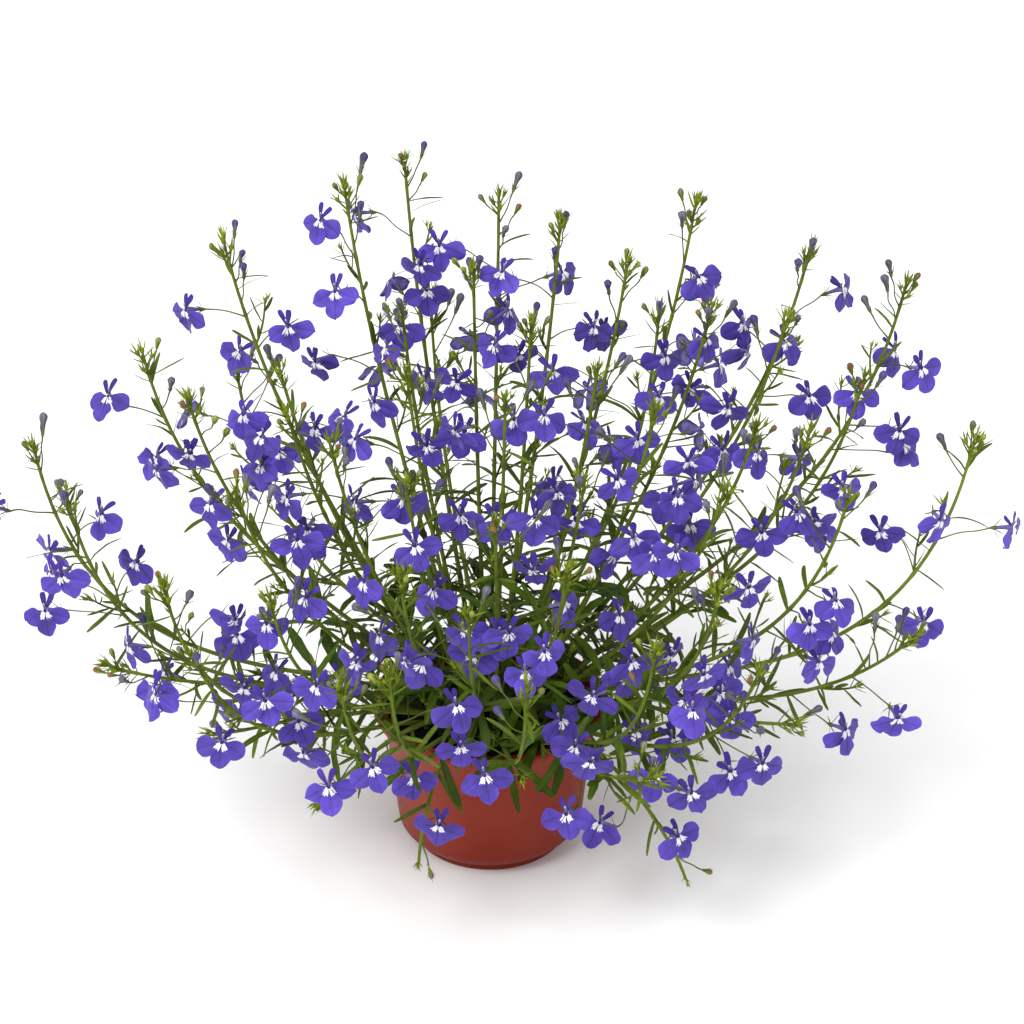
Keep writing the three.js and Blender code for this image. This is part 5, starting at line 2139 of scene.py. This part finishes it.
@dataclass
class Compost:
    """The compost in the pot, with a crumbly surface."""

    top: float = SOIL_TOP
    bottom: float = 6.0
    inset: float = 0.35
    sides: int = 96
    rings: int = 30
    crumbs: int = 360

    def rim(self, z: float) -> float:
        """Returns the radius of the pot's inside at a height, less the gap."""
        share = (z - POT.shoulder_height) / (POT.collar_height - POT.shoulder_height)
        wall = POT.shoulder_radius + (POT.collar_radius - POT.shoulder_radius) * share
        return wall - POT.wall - self.inset

    def build(self, material: Material) -> Object:
        """Builds the compost.

        Args:
            material: the peat.

        Returns:
            The piece.
        """
        rng = np.random.default_rng(62)
        turns = turns_round(self.sides)
        waves = rng.uniform(-1, 1, (26, 4)) * [0.9, 0.9, math.pi, 0.16]
        rings = []
        sides = [(POT.foot_radius - 2, self.bottom), (self.rim(13) - 0.6, 13.0),
                 (self.rim(40), 40.0), (self.rim(POT.collar_height), self.top - 1.2)]
        for radius, z in sides:
            rings.append([(radius * math.cos(a), radius * math.sin(a), z) for a in turns])
        brim = self.rim(POT.collar_height) - 0.3
        for n in range(self.rings):
            radius = brim * (1 - n / self.rings)
            x = radius * np.cos(turns)
            y = radius * np.sin(turns)
            height = sum(w[3] * np.sin(w[0] * x + w[1] * y + w[2]) for w in waves)
            rings.append(np.stack([x, y, self.top - 0.3 + 0.8 * height], 1).tolist())
        skin = Surface()
        skin.loft(np.array(rings), np.zeros(4))
        for _ in range(self.crumbs):
            angle = rng.uniform(0, 2 * math.pi)
            out = (brim - 1.4) * math.sqrt(rng.uniform(0, 1))
            size = rng.uniform(0.4, 1.3)
            level = self.top - 0.1 + 0.25 * size
            at = np.array([out * math.cos(angle), out * math.sin(angle), level])
            axis = lengthened(rng.normal(size=3) * [1, 1, 0.4])
            share = np.array([-1.0, -0.55, 0.1, 0.7, 1.0])
            radii = np.array([0.25, 0.8, 1.0, 0.62, 0.2]) * size * rng.uniform(0.5, 0.9)
            path = at + np.outer(share, axis) * size
            lumps = round_rings(path, radii, 6, rng.normal(size=3))
            lumps += rng.normal(size=lumps.shape) * 0.1 * size
            skin.loft(lumps, np.zeros(4))
        return skin.piece("compost", material, 50.0)


# ---- camera, floor and light
@dataclass(frozen=True)
class Lamp:
    """A far, broad light with its direction, its strength, and its breadth in degrees."""

    name: str
    aim: Vec
    strength: float
    spread: float

    def hang(self) -> None:
        """Hangs the light, which shines on the whole studio evenly."""
        lamp = bpy.data.lights.new(self.name, "SUN")
        lamp.angle = math.radians(self.spread)
        lamp.energy = self.strength
        x, y, z = unit(self.aim)
        turn = (math.acos(z), 0.0, math.atan2(y, x) + math.pi / 2)
        into_scene(self.name, lamp).rotation_euler = turn


@dataclass(frozen=True)
class Studio:
    """A pale floor, soft light, and a camera that looks down on the plant a little."""

    target: Vec = (0.0098, 0.0, 0.164)
    distance: float = 1.6
    elevation: float = 29.0
    focal_pixels: float = 3702.0
    image_pixels: float = 1024.0
    sight: float = 40.0
    floor_reach: float = 14.0
    sky: float = 0.72
    lamps: tuple[Lamp, ...] = (
        Lamp("key", (-0.7, -0.85, 1.35), 2.5, 26.0),
        Lamp("fill", (0.9, -1.2, 0.9), 0.42, 70.0),
    )

    def place_camera(self) -> None:
        """Makes the camera and gives it to the scene."""
        lens = bpy.data.cameras.new("camera")
        lens.angle = 2 * math.atan(0.5 * self.image_pixels / self.focal_pixels)
        lens.clip_end = self.sight
        camera = into_scene("camera", lens)
        tilt = math.radians(self.elevation)
        back = (0.0, -math.cos(tilt), math.sin(tilt))
        camera.location = mix((self.target, 1), (back, self.distance))
        camera.rotation_euler = (math.pi / 2 - tilt, 0.0, 0.0)
        bpy.context.scene.camera = camera

    def lay_floor(self) -> None:
        """Makes the floor."""
        mesh = bpy.data.meshes.new("studio_floor")
        reach = self.floor_reach
        corners = [(-reach, -reach, 0), (reach, -reach, 0), (reach, reach, 0), (-reach, reach, 0)]
        mesh.from_pydata(corners, [], [[0, 1, 2, 3]])
        mesh.materials.append(FloorFinish().material())
        into_scene("studio_floor", mesh)

    def light(self) -> None:
        """Sets the surroundings and the lights."""
        scene = bpy.context.scene
        world = bpy.data.worlds.new("studio")
        scene.world = world
        world.use_nodes = True
        sky = world.node_tree.nodes["Background"]
        sky.inputs["Color"].default_value = (1.0, 1.0, 1.0, 1.0)
        sky.inputs["Strength"].default_value = self.sky
        for lamp in self.lamps:
            lamp.hang()
        scene.view_settings.view_transform = "Standard"
        scene.view_settings.look = "None"

    def build(self) -> None:
        """Sets up the whole studio."""
        self.place_camera()
        self.lay_floor()
        self.light()


# ---- putting it together
def settle_piece(piece: Object, slot: str, *nodes: str) -> None:
    """Hands a piece to the frame.

    Args:
        piece: the piece.
        slot: the material slot, which is not used.
        nodes: the solids that it stands for.
    """
    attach(piece, "root")
    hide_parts(*nodes)
    mesh = piece.data
    LOG.info("%s: %d vertices, %d faces", piece.name, len(mesh.vertices), len(mesh.polygons))


def main() -> None:
    """Builds the studio, the pot, the compost and the plant."""
    logging.basicConfig(level=logging.INFO, format="%(name)s: %(message)s")
    Studio().build()
    settle_piece(Pot().build(PotFinish().material()), "pot", "pot")
    settle_piece(Compost().build(CompostFinish().material()), "soil", "soil")
    stems = Growth().grow()
    counts = {kind.__name__: sum(len(stem.poses(kind)) for stem in stems)
              for kind in (BloomPose, LeafPose, BudPose, ShootPose)}
    LOG.info("grown: %s", counts)
    green = GreenFinish().material()
    petal = PetalFinish().material()
    for stem in stems:
        node = f"stem_{stem.order + 1:02d}"
        settle_piece(LeafyStem(stem).build(green), "plant", node)
        settle_piece(Blooms(stem).build(petal), "petal", node)


if __name__ == "__main__":
    main()
